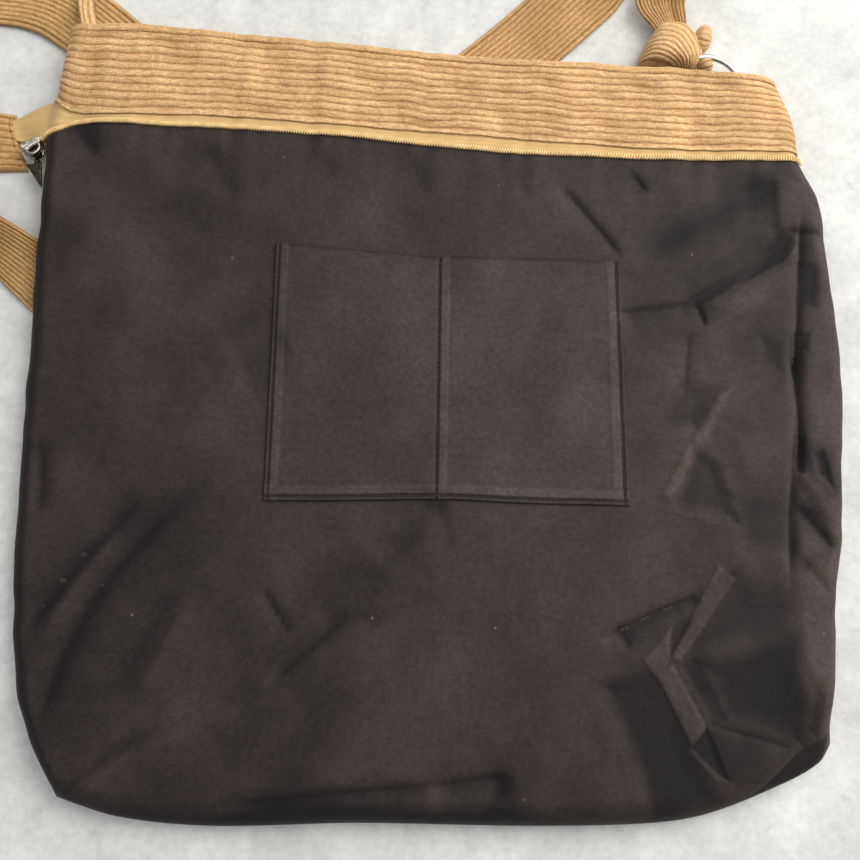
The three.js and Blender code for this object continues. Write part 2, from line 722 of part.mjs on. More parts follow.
function knotWrap() {
  const sections = [];
  const turns = 14;
  const sides = 12;
  for (let i = 0; i <= turns; i++) {
    const row = {};
    const at = mix(0, KNOT_ROWS.length - 1, i / turns);
    const rows = KNOT_ROWS.map((entry, k) => ({ ...entry, k }));
    for (const column of ["angle", "radius", "height", "z"]) row[column] = read(rows, "k", column, at);
    const angle = THREE.MathUtils.degToRad(row.angle);
    const out = new THREE.Vector3(Math.cos(angle), Math.sin(angle), 0);
    const centre = new THREE.Vector3(KNOT.x + KNOT.halfWidth * out.x, KNOT.y + KNOT.halfHeight * out.y, row.z);
    const section = [];
    for (let k = 0; k < sides; k++) {
      const turn = (2 * Math.PI * k) / sides;
      const point = centre.clone().addScaledVector(out, row.radius * Math.cos(turn));
      point.z += row.height * Math.sin(turn);
      section.push(point);
    }
    sections.push(section);
  }
  return rod(sections);
}

const lumps = KNOT_LUMPS.map((lump) =>
  new THREE.SphereGeometry(1, 12, 8).scale(lump.rx, lump.ry, lump.rz).translate(lump.x, lump.y, lump.z),
);
const tunnel = new THREE.TorusGeometry(RING.radius, RING.wire + RING_TUNNEL, 8, 40);
tunnel.translate(RING.x, RING.y, RING.z);
addPiece("strap_knot", fromSolid(join([knotWrap(), ...lumps]).subtract(toSolid(tunnel))), COLOURS.corduroy, 0.95);

const ring = new THREE.TorusGeometry(RING.radius, RING.wire, 8, 34).translate(RING.x, RING.y, RING.z);
addPiece("ring", ring, COLOURS.steel, 0.2, 1);

// The corduroy loop that holds the ring at the right side of the mouth.
const RING_LOOP = { x: 155, y: 191, width: 9, eye: 3, wall: 1.6, tail: 13 };
const loopShape = new THREE.Shape();
const loopHalf = RING.wire + GAP + RING_LOOP.wall;
loopShape.moveTo(RING_LOOP.tail, -1.8);
loopShape.lineTo(RING_LOOP.tail, 1.8);
loopShape.lineTo(5, loopHalf);
loopShape.lineTo(-1, loopHalf);
loopShape.lineTo(-RING_LOOP.eye - RING_LOOP.wall, 1.4);
loopShape.lineTo(-RING_LOOP.eye - RING_LOOP.wall, -1.4);
loopShape.lineTo(-1, -loopHalf);
loopShape.lineTo(5, -loopHalf);
const loopHole = new THREE.Path();
const eyeHalf = RING.wire + GAP;
loopHole.moveTo(-RING_LOOP.eye, -0.9);
loopHole.lineTo(-RING_LOOP.eye, 0.9);
loopHole.lineTo(-1.6, eyeHalf);
loopHole.lineTo(2.4, eyeHalf);
loopHole.lineTo(3.4, 0.8);
loopHole.lineTo(3.4, -0.8);
loopHole.lineTo(2.4, -eyeHalf);
loopHole.lineTo(-1.6, -eyeHalf);
loopShape.holes.push(loopHole);
const ringLoop = new THREE.ExtrudeGeometry(loopShape, { depth: RING_LOOP.width, bevelEnabled: false });
ringLoop.rotateX(Math.PI / 2).translate(RING_LOOP.x, RING_LOOP.y + RING_LOOP.width / 2, RING.z);
addPiece("ring_loop", ringLoop, COLOURS.corduroy, 0.95);

// The narrow loop at the left of the mouth: two layers that meet in a bend.
function mouthLoopPlaces() {
  const across = new THREE.Vector3(1, 0, 0);
  const places = [];
  const last = MOUTH_LOOP_ROWS[MOUTH_LOOP_ROWS.length - 1];
  const layer = (row, side) => {
    const centre = new THREE.Vector3(row.x, row.y, row.z + side * LOOP_BEND);
    return { centre, across, width: MOUTH_LOOP_WIDTH };
  };
  for (const row of MOUTH_LOOP_ROWS) places.push(layer(row, 1));
  for (const degrees of [60, 30, 0, -30, -60]) {
    const angle = THREE.MathUtils.degToRad(degrees);
    const y = last.y + LOOP_BEND * Math.cos(angle);
    const z = last.z + LOOP_BEND * Math.sin(angle);
    places.push({ centre: new THREE.Vector3(last.x, y, z), across, width: MOUTH_LOOP_WIDTH });
  }
  for (const row of [...MOUTH_LOOP_ROWS].reverse()) places.push(layer(row, -1));
  return places;
}
addPiece("mouth_loop", strip(mouthLoopPlaces(), LOOP_THICKNESS, 0.4), COLOURS.corduroy, 0.95);

export default bag;
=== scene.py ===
"""The corduroy tote bag lying inside out on a pale floor: cloth, zip, strap and metal, with light and camera.

Shapes are worked out in millimetres in the part's frame: x to the right, y towards the mouth, z up.
"""

import bpy
import numpy as np
from mathutils import Matrix


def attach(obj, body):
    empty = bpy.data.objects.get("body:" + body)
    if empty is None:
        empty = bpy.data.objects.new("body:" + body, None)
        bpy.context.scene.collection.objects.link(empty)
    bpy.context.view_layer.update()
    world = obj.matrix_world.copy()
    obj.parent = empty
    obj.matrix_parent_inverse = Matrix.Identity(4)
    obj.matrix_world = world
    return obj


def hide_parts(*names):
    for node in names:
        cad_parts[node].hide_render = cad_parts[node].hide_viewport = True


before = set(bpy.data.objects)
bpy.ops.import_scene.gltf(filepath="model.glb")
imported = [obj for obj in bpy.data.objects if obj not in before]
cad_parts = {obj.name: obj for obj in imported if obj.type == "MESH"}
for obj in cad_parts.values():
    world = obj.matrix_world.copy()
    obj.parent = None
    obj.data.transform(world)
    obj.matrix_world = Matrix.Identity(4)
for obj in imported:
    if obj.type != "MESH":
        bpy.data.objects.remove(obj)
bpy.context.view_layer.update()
MM = 0.001


def table(names, *rows):
    """The columns of a table by name, each an array down its rows."""
    return dict(zip(names.split(), np.array(rows, float).T))


# Cloth
LINING_THICKNESS = 1.1
CORDUROY_THICKNESS = 1.8
TAPE_THICKNESS = 0.6
GAP = 0.3
FACING_RISE = 0.7
ZIP_RIDGE = 1.1
WALE_PITCH = 3.9
WALE_DEPTH = 0.85

# The hidden face of a cloth wall has every fourth point of its shown face. Coordinates on cloth grow by so
# much for each millimetre along it and each wale across. Hidden faces have no painted light or shade and a
# low pile.
COARSE = 4
UV_ALONG = 0.01
UV_ACROSS = 0.04
PLAIN = 0.5
LOW_PILE = 0.4

# Painted light and shade on the lining: the way to the light, how much slopes show it, and how much a fold's
# depth and a facet's shade do
PAINTED_LIGHT_WAY = np.array([0.94, 0.36, 0.0])
SLOPE_SHADE_GAIN = 1.1
FOLD_SHADE = 0.15
FACET_SHADE = 1.6

# The flattened bag
SIDE_RADIUS = 9.0
BACK_RADIUS = 7.0
BOTTOM_RADIUS = 13.0
SEAM_GAP = 0.2
V_FACING = 0.13
V_COIL = 0.15
V_BODY = 0.22
BODY_LENGTH = 330.0
EDGE_FADE = 14.0
FAR = 99.0
BAND_WALES = 12
BAND_HEIGHT = 52.0
BAND_LENGTH = 385.0
BAND_SEAM = 4.4
SHELL_WIDTH = 396.0
SHELL_LENGTH = 380.0
SHELL_SINK = 5.0

# Zip
TAPE_LAP = 0.0045
TAPE_POINTS = 300
TAPE_COLUMNS = 13
TAPE_UV_ACROSS = 0.07
TAIL_POINTS = 33
TAIL_DROP = 2.2
COIL_SHORT = 15
COIL_LIFT = 0.95
COIL_PITCH = 1.35
COIL_STEPS = 12
COIL_SIDES = 5
COIL_REACH = 1.2
COIL_RISE = 0.6
COIL_WIRE = 0.32
COIL_DIP = 0.5
TAB_BASE = 0.6
TAB_TOP = 4.1
TAB_SINK = 1.3
TAB_HEIGHT = 33.0
TAB_WIDTH = 28.0
TAB_WALES = 8.6
TAB_SEAM = 2.6
SLIDER = {"x": -212.8, "y": 140.5, "base": 4.6, "height": 7.0, "length": 11.0, "depth": 6.0}
SLIDER_TURN = np.radians(214.7)
BAIL = {"half": 3.6, "root": 2.2, "reach": 3.9, "wire": 0.75, "inset": 0.7}
PIN_REACH = 5.6
PIN_WIRE = 0.8
PIN_END = 0.3
PULLER = {"start": 1.7, "length": 18.5, "neck": 1.4, "broad": 7.6, "tip": -1.6, "inside": 2.2}
PULLER_HALF_THICK = 0.7
PULLER_TAPER = 17.0
PULLER_TURN = np.radians(-81.6)
PULLER_LEAN = np.radians(76)
EYE = {"height": 4.6, "rise": 1.9, "radius": 1.75, "wall": 0.5}

# Pocket
POCKET_WIDTH = 170.0
POCKET_HEIGHT = 122.0
POCKET_SEAM = 2.0
POCKET_UNDERSIDE = 0.3

# How far the thread's centre stands over the band and over the pocket's face
BAND_THREAD = 0.42
POCKET_THREAD = 0.12

# Strap, knot, ring and loops
STRAP_THICKNESS = 3.0
STRAP_FLOOR = 0.15
STRAP_WALES = 14
STRAP_STEPS = 301
STRAP_SEAM = 0.86
WALE_POINTS = 10
CHANNEL_HEIGHT = 3.8
CHANNEL_SHARE = 0.5
CHANNEL_FLAT = 30.0
CHANNEL_FADE = 56.0
RING = {"x": 138.0, "y": 192.0, "z": 8.6, "radius": 17.5, "wire": 1.5}
KNOT_WALES = 9.5
KNOT_BASE = 3.0
KNOT_ACROSS = 30.0
KNOT_STEP = 8.0
KNOT_RUN = 12.0
LUMP_RUN = 5.0
LOOP_THICKNESS = 1.6
LOOP_WALES = 3
RING_LOOP = {"x": 155.0, "y": 191.0, "width": 9.0, "reach": 13.0}
MOUTH_LOOP_BEND = 1.0
MOUTH_LOOP_WIDTH = 8.4

LEFT_EDGE = table(
    "y x",
    (-176.4, -160.2), (-165.5, -166.9), (-137, -181.7), (-119, -186.3), (-98, -190.3), (-60, -193.8),
    (0, -197.8), (32, -197.6), (60, -200.6), (118, -203), (152, -205.4), (171, -201.2), (205.6, -198.6),
)
RIGHT_EDGE = table(
    "y x",
    (-137.7, 190.4), (-127, 189.6), (-105, 193.2), (-75, 194.4), (-44, 198.6), (0, 200.8), (45, 202.2),
    (72, 200), (109, 196.1), (129, 194.2), (149, 184.6), (170, 181.7), (194.4, 172.6),
)
MOUTH_LINE = table(
    "x y",
    (-198.6, 205.6), (-164, 206), (-123, 203.9), (-77, 201.8), (-9, 195.6), (49, 194.5), (106, 195.8),
    (152, 195.4), (172.6, 194.4),
)
FACING_LINE = table(
    "x y",
    (-202.9, 164.6), (-199.5, 161), (-194, 156), (-187.5, 153.9), (-176, 153.3), (-116, 154.2), (-7, 150),
    (63, 149), (120, 148.6), (184.6, 152.3),
)
COIL_LINE = table(
    "x y",
    (-204.9, 142.8), (-197, 144.6), (-191.5, 147.1), (-185, 149.1), (-172, 149.8), (-144, 149), (-101, 148.4),
    (-45, 146.4), (-7, 143.6), (24, 142.7), (63, 143.2), (120, 144.4), (185, 148.6),
)
BOTTOM_LINE = table(
    "x y",
    (-160.3, -176.4), (-131, -183.6), (-89, -185.6), (-25, -181.5), (51, -179.4), (105, -176),
    (132, -171), (164, -158), (184, -147), (190.7, -137.7),
)
COURSES = table(
    "v left right",
    (0, 205.6, 194.4), (V_FACING, 164.6, 152.3), (V_COIL, 142.8, 148.6), (1, -176.4, -137.7),
)
COURSE_LINES = (MOUTH_LINE, FACING_LINE, COIL_LINE, BOTTOM_LINE)
HEIGHTS = table(
    "v fold side middle",
    (0, 7.2, 9.5, 13), (0.13, 7.2, 9.5, 13), (0.3, 6.6, 9, 14.5), (0.55, 6.5, 9, 16), (0.8, 6.5, 9, 15.5),
    (1, 6.5, 8, 11.5),
)

# Folds of the upper lining panel. A depth above zero is a valley, below zero a ridge. The side that
# the fold leans to is steeper, and a small soft gives a sharp crease.
FOLDS = table(
    "x1 y1 x2 y2 bend depth width soft lean",
    (120, 65, 177, 107, -1, 2.4, 5.0, 0.4, -0.2),
    (88, 60, 128, 68, -1, 2.0, 5.0, 0.25, 0.5),
    (128, 69, 132, 56, 0, 1.3, 2.2, 0.3, 0.3),
    (172, 138, 98, 91, 0, 2.4, 9.0, 0.7, 0),
    (60, 126, 91, 89, 0, 1.4, 3.6, 0.25, 0.4),
    (88, 146, 103, 125, 0, 1.6, 3.6, 0.25, 0.4),
    (124, 51, 121, 25, 0, 0.8, 3.0, 0.3, 0.3),
    (181.5, 114, 174, 26, 1, 2.6, 2.5, 0.15, -0.4),
    (174.4, 52, 176.4, -14, 1, 2.4, 2.4, 0.15, -0.4),
    (176, 10, 170.5, -64, -1, 2.2, 2.6, 0.2, -0.4),
    (175, 109, 197, 108, 0, 1.2, 3.0, 0.3, 0.3),
    (175, -30, 193, -51, 0, 2.2, 4.4, 0.4, 0.3),
    (176, -56, 190, -72, 0, 1.4, 4.6, 0.5, 0.3),
    (84, -96, 124, -76, 1, 2.4, 2.6, 0.2, 0.4),
    (120, -79, 144, -63, 0, 1.4, 3.0, 0.3, 0.4),
    (88, -90, 95, -99, 0, 0.7, 3.0, 0.4, 0),
    (129, -131, 171, -141, 0, 0.9, 2.6, 0.2, 0.4),
    (-136, -43, -182, -106, -2.5, 2.4, 5.6, 0.4, 0.3),
    (-110, -38, -170, -146, -11.5, 2.4, 6.2, 0.4, 0.3),
    (-144, -60, -173, -108, -3, -1.0, 3.6, 0.4, 0),
    (-106, -88, -126, -130, 0, -0.9, 4.0, 0.4, 0),
    (-116, -84, -136, -128, 0, 0.9, 5.0, 0.6, 0.3),
    (-35, -91, -67, -122, 0, 1.6, 4.0, 0.25, 0.4),
    (-73, -81, -60, -100, 0, 1.1, 3.0, 0.3, 0.3),
    (-158, -176, -76, -132, 2, -0.8, 3.0, 0.3, 0),
    (4, -34, -19, -66, 0, 1.2, 6.0, 0.6, 0.2),
    (5, -36, 12, -62, 0, 0.7, 3.6, 0.5, 0),
    (-96, 24, -70, 36, 0, 0.8, 9.0, 0.8, 0),
    (-186, -16, -182, -50, 1, 1.4, 4.4, 0.5, 0.3),
    (-87, -177, 8, -164, 1, 2.4, 5.4, 0.4, 0.5),
    (8, -164, 42, -158, 0, 2.0, 5.0, 0.4, 0.5),
    (40, -158, 31, -177, 0, 0.7, 3.6, 0.4, 0),
    (-186, 147, -176, 132, 0, 1.6, 4.4, 0.4, 0),
    (-122, 140, -102, 108, 0, 1.0, 7.0, 0.6, 0.3),
    (-68, 148, -55, 122, 0, 0.9, 6.0, 0.6, 0.3),
    (-20, 146, -8, 118, 0, 0.8, 6.0, 0.6, 0.3),
    (32, 144, 44, 116, 0, 0.8, 6.0, 0.6, 0.3),
)

# Parts of the lining pressed flat between folds, by their corners. They stand up or lie lower, and shade
# painted on them makes them lighter or darker.
FACETS = table(
    "x1 y1 x2 y2 x3 y3 x4 y4 rise shade soft",
    (84, -94, 166, -58, 182, -138, 106, -172, 0.0, -0.13, 8.0),
    (136, -60, 144, -66, 118, -104, 114, -103, 0.45, 0.28, 1.0),
    (114, -89, 101, -105, 108, -113, 113, -104, 0.4, 0.26, 1.0),
    (108, -112, 114, -105, 130, -133, 123, -141, 0.45, 0.24, 1.0),
    (123, -142, 130, -133, 140, -155, 136, -154, -0.8, -0.28, 1.1),
    (131, -132, 171, -141, 157, -156, 140, -155, 0.2, -0.12, 1.1),
    (152, -161, 171, -143, 186, -134, 184, -148, -1.0, -0.4, 1.4),
    (84, -117, 104, -112, 134, -164, 108, -172, -1.4, -0.36, 6.5),
    (131, -107, 139, -126, 171, -135, 168, -97, -1.5, -0.34, 8.0),
    (119, -106, 133, -131, 140, -130, 125, -103, -0.4, -0.14, 2.2),
    (147, -66, 126, -97, 152, -92, 167, -78, -0.6, -0.16, 8.0),
    (114, -90, 125, -84, 114, -101, 112, -99, -0.4, -0.14, 1.2),
    (173, -63, 191, -54, 188, -122, 176, -101, 0.5, 0.32, 4.0),
    (180, -112, 183, -117, 180, -134, 176, -133, -0.3, -0.14, 2.4),
    (153, 139, 166, 142, 168, 110, 153, 110, -0.8, -0.06, 6.0),
    (169, 140, 183, 133, 192, 109, 170, 110, 0.5, 0.14, 2.5),
    (169, 106, 178, 109, 174, 96, 153, 82, -1.0, -0.16, 3.0),
    (136, 66, 173, 89, 178, 85, 150, 62, 0.5, 0.12, 2.4),
    (160, 51, 169, 49, 169, 35, 160, 38, -0.8, -0.16, 4.0),
    (130, 67.6, 171.6, 92.4, 166, 96.4, 124, 70, -0.3, -0.24, 0.9),
    (171.6, 92.4, 179.6, 103, 175, 107, 166, 96.4, -0.3, -0.22, 0.9),
    (124, 74, 163, 98, 158, 104, 118, 80, -0.2, -0.08, 4.0),
    (166, 137, 171, 130, 104, 88, 100, 97, -0.2, -0.12, 7.0),
    (-58, -64, -20, -67, -22, -96, -60, -91, -0.4, -0.05, 7.0),
    (-152, -170, -137, -152, -120, -146, -130, -156, -0.5, -0.15, 3.0),
    (-190, 148, -173, 149, -176, 141, -182, 139, -0.3, -0.2, 2.2),
    (180, 92, 190, 91, 187, 70, 179, 71, -1.0, -0.22, 3.0),
    (137, 21, 143, 24, 114, -31, 109, -29, 0.5, 0.17, 1.8),
    (119, 26, 137, 24, 126, 5, 107, 4, -1.2, -0.20, 4.5),
    (125, -6, 135, -12, 145, -39, 116, -33, -1.2, -0.22, 4.0),
    (144, -29, 172, -27, 172, -52, 150, -52, -1.0, -0.28, 6.0),
    (141, 3, 173, -3, 173, -20, 151, -20, 0.5, 0.10, 6.0),
    (180, 66, 199, 70, 199, -2, 179, -2, 0.3, 0.24, 4.0),
    (176, 55, 184, 56, 182, 47, 176, 46, -0.9, -0.20, 2.0),
    (186, 42, 196, 44, 196, 25, 185, 23, -0.6, -0.14, 4.5),
    (175, 3, 179, 3, 178, -14, 173, -14, -0.9, -0.20, 1.6),
    (184, -5, 188, -3, 193, -21, 186, -15, -1.0, -0.30, 1.8),
    (176, -14, 184, -19, 194, -30, 190, -39, 0.6, 0.16, 3.5),
    (-176, -80, -50, -100, -30, -170, -150, -172, 0.0, -0.035, 22.0),
    (-132, -180, 62, -173, 68, -180, -124, -188, 0.0, -0.12, 5.0),
    (-42, -174, 50, -170, 60, -180, -42, -184, 0.0, -0.08, 3.0),
)

STRAP_ROWS = table(
    "x y lift bank width",
    (121, 223, 4, 0, 16), (117.5, 232, 6.5, 0, 21), (114, 241, 6, -10, 27), (113.5, 252, 3.6, -34, 33),
    (108, 264, 1, -54, 37), (97, 269, 0, -58, 39), (85, 260, 0, -34, 39), (69, 245, 0, -5, 39),
    (34, 209, 0, 0, 39), (-8, 171, 0, 0, 39), (-52, 144, 0, 0, 39), (-98, 141, 0, 0, 39),
    (-138, 163, 0, 0, 39), (-167, 193, 0, 0, 39), (-193, 215, 0, 0, 39), (-218, 229.5, 0, 0, 39),
    (-246, 233.5, 0, -4, 39), (-276, 228, 0, -30, 39), (-299, 208, 0, -54, 39), (-307, 178, 0, -58, 39),
    (-297.5, 148.5, 0, -52, 38), (-277, 123.5, 0, -24, 36), (-252, 105.5, 0, 22, 32),
    (-230, 90.5, 0, 46, 30), (-216, 80.7, 0, 26, 29), (-206, 74, 0, 4, 30), (-195, 66.5, 0, 0, 33),
    (-182, 57, 0, 0, 36),
)
TAPE_TAIL = table(
    "ux uy lx ly z",
    (-206, 164.6, -206.4, 144, 9.0), (-212, 162.8, -209.5, 143.8, 7.6), (-219, 160.2, -213.5, 144.2, 5.4),
    (-225.5, 158, -219, 145.2, 3), (-231, 156.6, -225, 146, 2.6),
)
TAB_EDGES = table(
    "t leftx lefty rightx righty",
    (0, -250, 163, -226.4, 161), (0.2, -249.6, 156, -226.8, 155.2), (0.5, -249, 145.6, -223.4, 145.4),
    (0.8, -248.4, 134.6, -218.8, 135.8), (1, -248, 127.6, -216, 129.6),
)
POCKET_EDGES = table(
    "t topx topy bottomx bottomy",
    (0, -80.1, 87.8, -76, -40.4), (0.25, -40, 85.8, -36, -38.6), (0.5, 1, 84.2, 4.3, -36.1),
    (0.75, 45, 85.4, 46, -36), (1, 89.6, 86.4, 94.6, -34.8),
)
MOUTH_LOOP_ROWS = table(
    "x y z",
    (-187, 184, 10.2), (-188.4, 200, 10.3), (-190.4, 210, 10.4), (-193.6, 220, 9), (-196, 230, 6.6),
    (-196.6, 241, 5.5),
)
KNOT_LINES = table(
    "across x1 y1 z1 x2 y2 z2 x3 y3 z3 x4 y4 z4 x5 y5 z5",
    (0, 112, 226.5, 7, 116.4, 230.7, 9, 129.5, 228.9, 10, 136.6, 215, 9, 133.3, 204.2, 7),
    (0.25, 107.7, 220.6, 9, 113.2, 221.6, 15, 123.2, 218.3, 17, 130, 208.3, 15, 129.7, 201.5, 10),
    (0.5, 104.3, 213.8, 10, 109.4, 212.5, 17.5, 117.8, 211, 19.5, 124.7, 204.3, 17, 127.1, 201.4, 10),
    (0.75, 102.2, 207.2, 10, 107, 207.2, 16.5, 112.8, 205.6, 18.5, 119.8, 203.3, 15.5, 124.6, 201.5, 9.5),
    (1, 100.8, 202.4, 9, 105.2, 202.4, 13, 110.2, 202.6, 14, 116, 202.4, 12, 120.2, 202.3, 8),
)
KNOT_LUMPS = table(
    "x y z rx ry rz wales turn",
    (118, 213, 8, 11, 10, 6, 12, 90), (136, 220.4, 8.2, 4.8, 8, 6, 15, -12),
    (137.6, 205.6, 6.6, 4, 4.2, 5, 8, 20),
)


def mix(a, b, t):
    """The point a share t of the way from a to b."""
    return a + (b - a) * t


def smooth(low, high, value):
    """0 below low, 1 above high, and an even S curve between them."""
    t = np.clip((value - low) / (high - low), 0, 1)
    return t * t * (3 - 2 * t)


def unit(vectors):
    """The vectors at length one."""
    return vectors / np.maximum(np.linalg.norm(vectors, axis=-1, keepdims=True), 1e-9)


def bell(distance, width):
    """1 on a line, falling off to both sides: the exponential of minus the square of distance over width."""
    return np.exp(-((distance / width) ** 2))


def even_turn(count):
    """Even angles once round a circle."""
    return np.linspace(0, 2 * np.pi, count, endpoint=False)


def squared(turn, power):
    """A circle pushed out towards a square: its two coordinates, each to a power below one with its sign."""
    across, up = np.cos(turn), np.sin(turn)
    return np.sign(across) * np.abs(across) ** power, np.sign(up) * np.abs(up) ** power


def curve(rows, place, column, at):
    """A column of a table at places between its rows: a cubic whose slope at each row is the slope
    between the rows before and after it."""
    at = np.asarray(at, float)
    p, c = rows[place], rows[column]
    n = len(p)
    before, after = np.maximum(np.arange(n) - 1, 0), np.minimum(np.arange(n) + 1, n - 1)
    slope = (c[after] - c[before]) / (p[after] - p[before])
    i = np.searchsorted(p[1:-1], at, side="left")
    span = p[i + 1] - p[i]
    t = np.clip((at - p[i]) / span, 0, 1)
    straight = (c[i + 1] - c[i]) / span
    bend = (slope[i] - straight) * (1 - t) - (slope[i + 1] - straight) * t
    return mix(c[i], c[i + 1], t) + t * (1 - t) * span * bend


def through(points, at):
    """The curve of `curve` through points at the places 0, 1, 2 and on, for points of any shape."""
    slope = np.gradient(points, axis=0)
    i = np.minimum(at.astype(int), len(points) - 2)
    t = (at - i).reshape(-1, *[1] * (points.ndim - 1))
    straight = points[i + 1] - points[i]
    bend = (slope[i] - straight) * (1 - t) - (slope[i + 1] - straight) * t
    return mix(points[i], points[i + 1], t) + t * (1 - t) * bend


def ripple(x, y, size, seed):
    """Smooth unevenness, mostly between -1 and 1: the sum of sine waves of about one size in all
    directions."""
    waves = 14
    draw = np.random.default_rng(seed)
    total = np.zeros(np.broadcast(x, y).shape)
    for _ in range(waves):
        turn, phase = draw.uniform(0, 2 * np.pi, 2)
        pitch = size * draw.uniform(0.7, 1.6)
        total += np.sin(2 * np.pi * (x * np.cos(turn) + y * np.sin(turn)) / pitch + phase)
    return total / np.sqrt(2 * waves)


def wale(phase):
    """Pile height across the cord, 0 in a groove and 1 on a crown: the size of a sine, to the power 0.55."""
    return np.abs(np.sin(np.pi * phase)) ** 0.55


def resampled(rows, count):
    """A table's columns, each read at even steps of the row number."""
    number = np.arange(len(next(iter(rows.values()))), dtype=float)
    numbered = dict(rows, row=number)
    at = np.linspace(0, number[-1], count)
    return {name: curve(numbered, "row", name, at) for name in rows}


def between_edges(rows, first, second, at, share):
    """A place in an outline: at a place along both of its edges, a share of the way from one to the other."""
    from_x, from_y = (curve(rows, "t", first + axis, at) for axis in "xy")
    to_x, to_y = (curve(rows, "t", second + axis, at) for axis in "xy")
    return mix(from_x, to_x, share), mix(from_y, to_y, share)


def strap_trace():
    """The strap's places where it lies flat on the floor."""
    places = resampled(STRAP_ROWS, 121)
    return {name: values[places["lift"] < 0.2] for name, values in places.items()}


STRAP_TRACE = strap_trace()


def channel(x, y):
    """How far the panel on the floor is raised over the strap: full near its trace, fading to nothing."""
    dx = np.asarray(x)[..., None] - STRAP_TRACE["x"]
    dy = np.asarray(y)[..., None] - STRAP_TRACE["y"]
    nearest = np.sqrt((dx * dx + dy * dy).min(axis=-1))
    return CHANNEL_HEIGHT * (1 - smooth(CHANNEL_FLAT, CHANNEL_FADE, nearest))


def edge_waves(y, seed):
    """Small scallops along a side edge."""
    return 0.6 * ripple(y, 0 * y, 42, seed) + 0.3 * ripple(y, 0 * y, 15, seed + 1)


def plan(u, v):
    """Where (u, v) lies in plan: u of the way from left to right edge at the height of course v, moved by
    the sag of the lines above and below it, with scallops that fade away from the side edges."""
    k = np.searchsorted(COURSES["v"][1:-1], v, side="left")
    t = np.clip((v - COURSES["v"][k]) / (COURSES["v"][k + 1] - COURSES["v"][k]), 0, 1)
    left_y = mix(COURSES["left"][k], COURSES["left"][k + 1], t)
    right_y = mix(COURSES["right"][k], COURSES["right"][k + 1], t)
    left_x = curve(LEFT_EDGE, "y", "x", left_y)
    right_x = curve(RIGHT_EDGE, "y", "x", right_y)
    sags = []
    for left, right, line in zip(COURSES["left"], COURSES["right"], COURSE_LINES):
        start = curve(LEFT_EDGE, "y", "x", left)
        end = curve(RIGHT_EDGE, "y", "x", right)
        sags.append(curve(line, "x", "y", mix(start, end, u)) - mix(left, right, u))
    sags = np.stack(sags)
    sag = mix(np.take_along_axis(sags, k[None], 0)[0], np.take_along_axis(sags, k[None] + 1, 0)[0], t)
    width = right_x - left_x
    below_zip = smooth(V_COIL, V_BODY, v)
    x = mix(left_x, right_x, u)
    x = x + below_zip * edge_waves(left_y, 5) * np.exp(-u * width / EDGE_FADE)
    x = x + below_zip * edge_waves(right_y, 9) * np.exp(-(1 - u) * width / EDGE_FADE)
    return x, mix(left_y, right_y, u) + sag, width


def rounded(distance, radius):
    """How far a rounded edge has risen: a quarter circle from 0 at the edge to 1 at its radius."""
    t = 1 - np.clip(distance / radius, 0, 1)
    return np.sqrt(1 - t * t)


def edge_rise(u, v, width, side_radius, bottom_radius):
    """The product of the rounded left, right and bottom edges."""
    bottom = (1 - v) / (1 - V_COIL) * BODY_LENGTH
    sides = rounded(u * width, side_radius) * rounded((1 - u) * width, side_radius)
    return sides * rounded(bottom, bottom_radius)


def fold_depth(x, y):
    """How far the folds push the upper lining down: along each line a valley that falls off as an
    exponential on both sides, rounded at its crest, faster on the side it leans to, and fades at its ends."""
    total = np.zeros(x.shape)
    for x1, y1, x2, y2, bend, depth, width, soft, lean in zip(*FOLDS.values()):
        dx, dy = x2 - x1, y2 - y1
        length = np.hypot(dx, dy)
        t = ((x - x1) * dx + (y - y1) * dy) / length**2
        aside = ((x - x1) * dy - (y - y1) * dx) / length + 4 * bend * t * (1 - t)
        aside = aside / (width * (1 + lean * np.tanh(4 * aside / width)))
        ends = smooth(-0.1, 0.2, t) * smooth(-0.1, 0.2, 1 - t)
        total += depth * ends * np.exp(soft - np.sqrt(aside**2 + soft**2))
    return total


def facets(x, y):
    """How far the flat facets stand up, and how much lighter or darker they are painted as light and shade:
    each counts fully inside its four sides and fades over its soft edge, by the largest of the distances
    outside its sides."""
    rise, shade = np.zeros(x.shape), np.zeros(x.shape)
    for *corners, lift, lighter, soft in zip(*FACETS.values()):
        corner = np.array(corners).reshape(4, 2)
        side = np.roll(corner, -1, axis=0) - corner
        turn = np.sign(side[0, 0] * side[1, 1] - side[0, 1] * side[1, 0])
        outside = np.full(x.shape, -FAR)
        for (cx, cy), (sx, sy) in zip(corner, side):
            outside = np.maximum(outside, turn * ((x - cx) * sy - (y - cy) * sx) / np.hypot(sx, sy))
        within = 1 - smooth(-soft, soft, outside)
        rise += lift * within
        shade += lighter * within
    return rise, shade


def lively(x, y):
    """How crumpled the lining lies: calm under the pocket and at the upper left, more to the right and
    below."""
    return 0.4 + 0.6 * smooth(84, 130, x) + 0.45 * (1 - smooth(-120, -50, y))


def gathers(x, v):
    """Puckers where the lining is sewn to the zip: small waves along x that fade within the top of the
    panel."""
    fade = np.exp(-np.maximum(v - V_COIL, 0) / 0.035)
    return fade * (0.55 * ripple(x, 0 * x, 26, 31) + 0.3 * ripple(x, 0 * x, 11, 32))


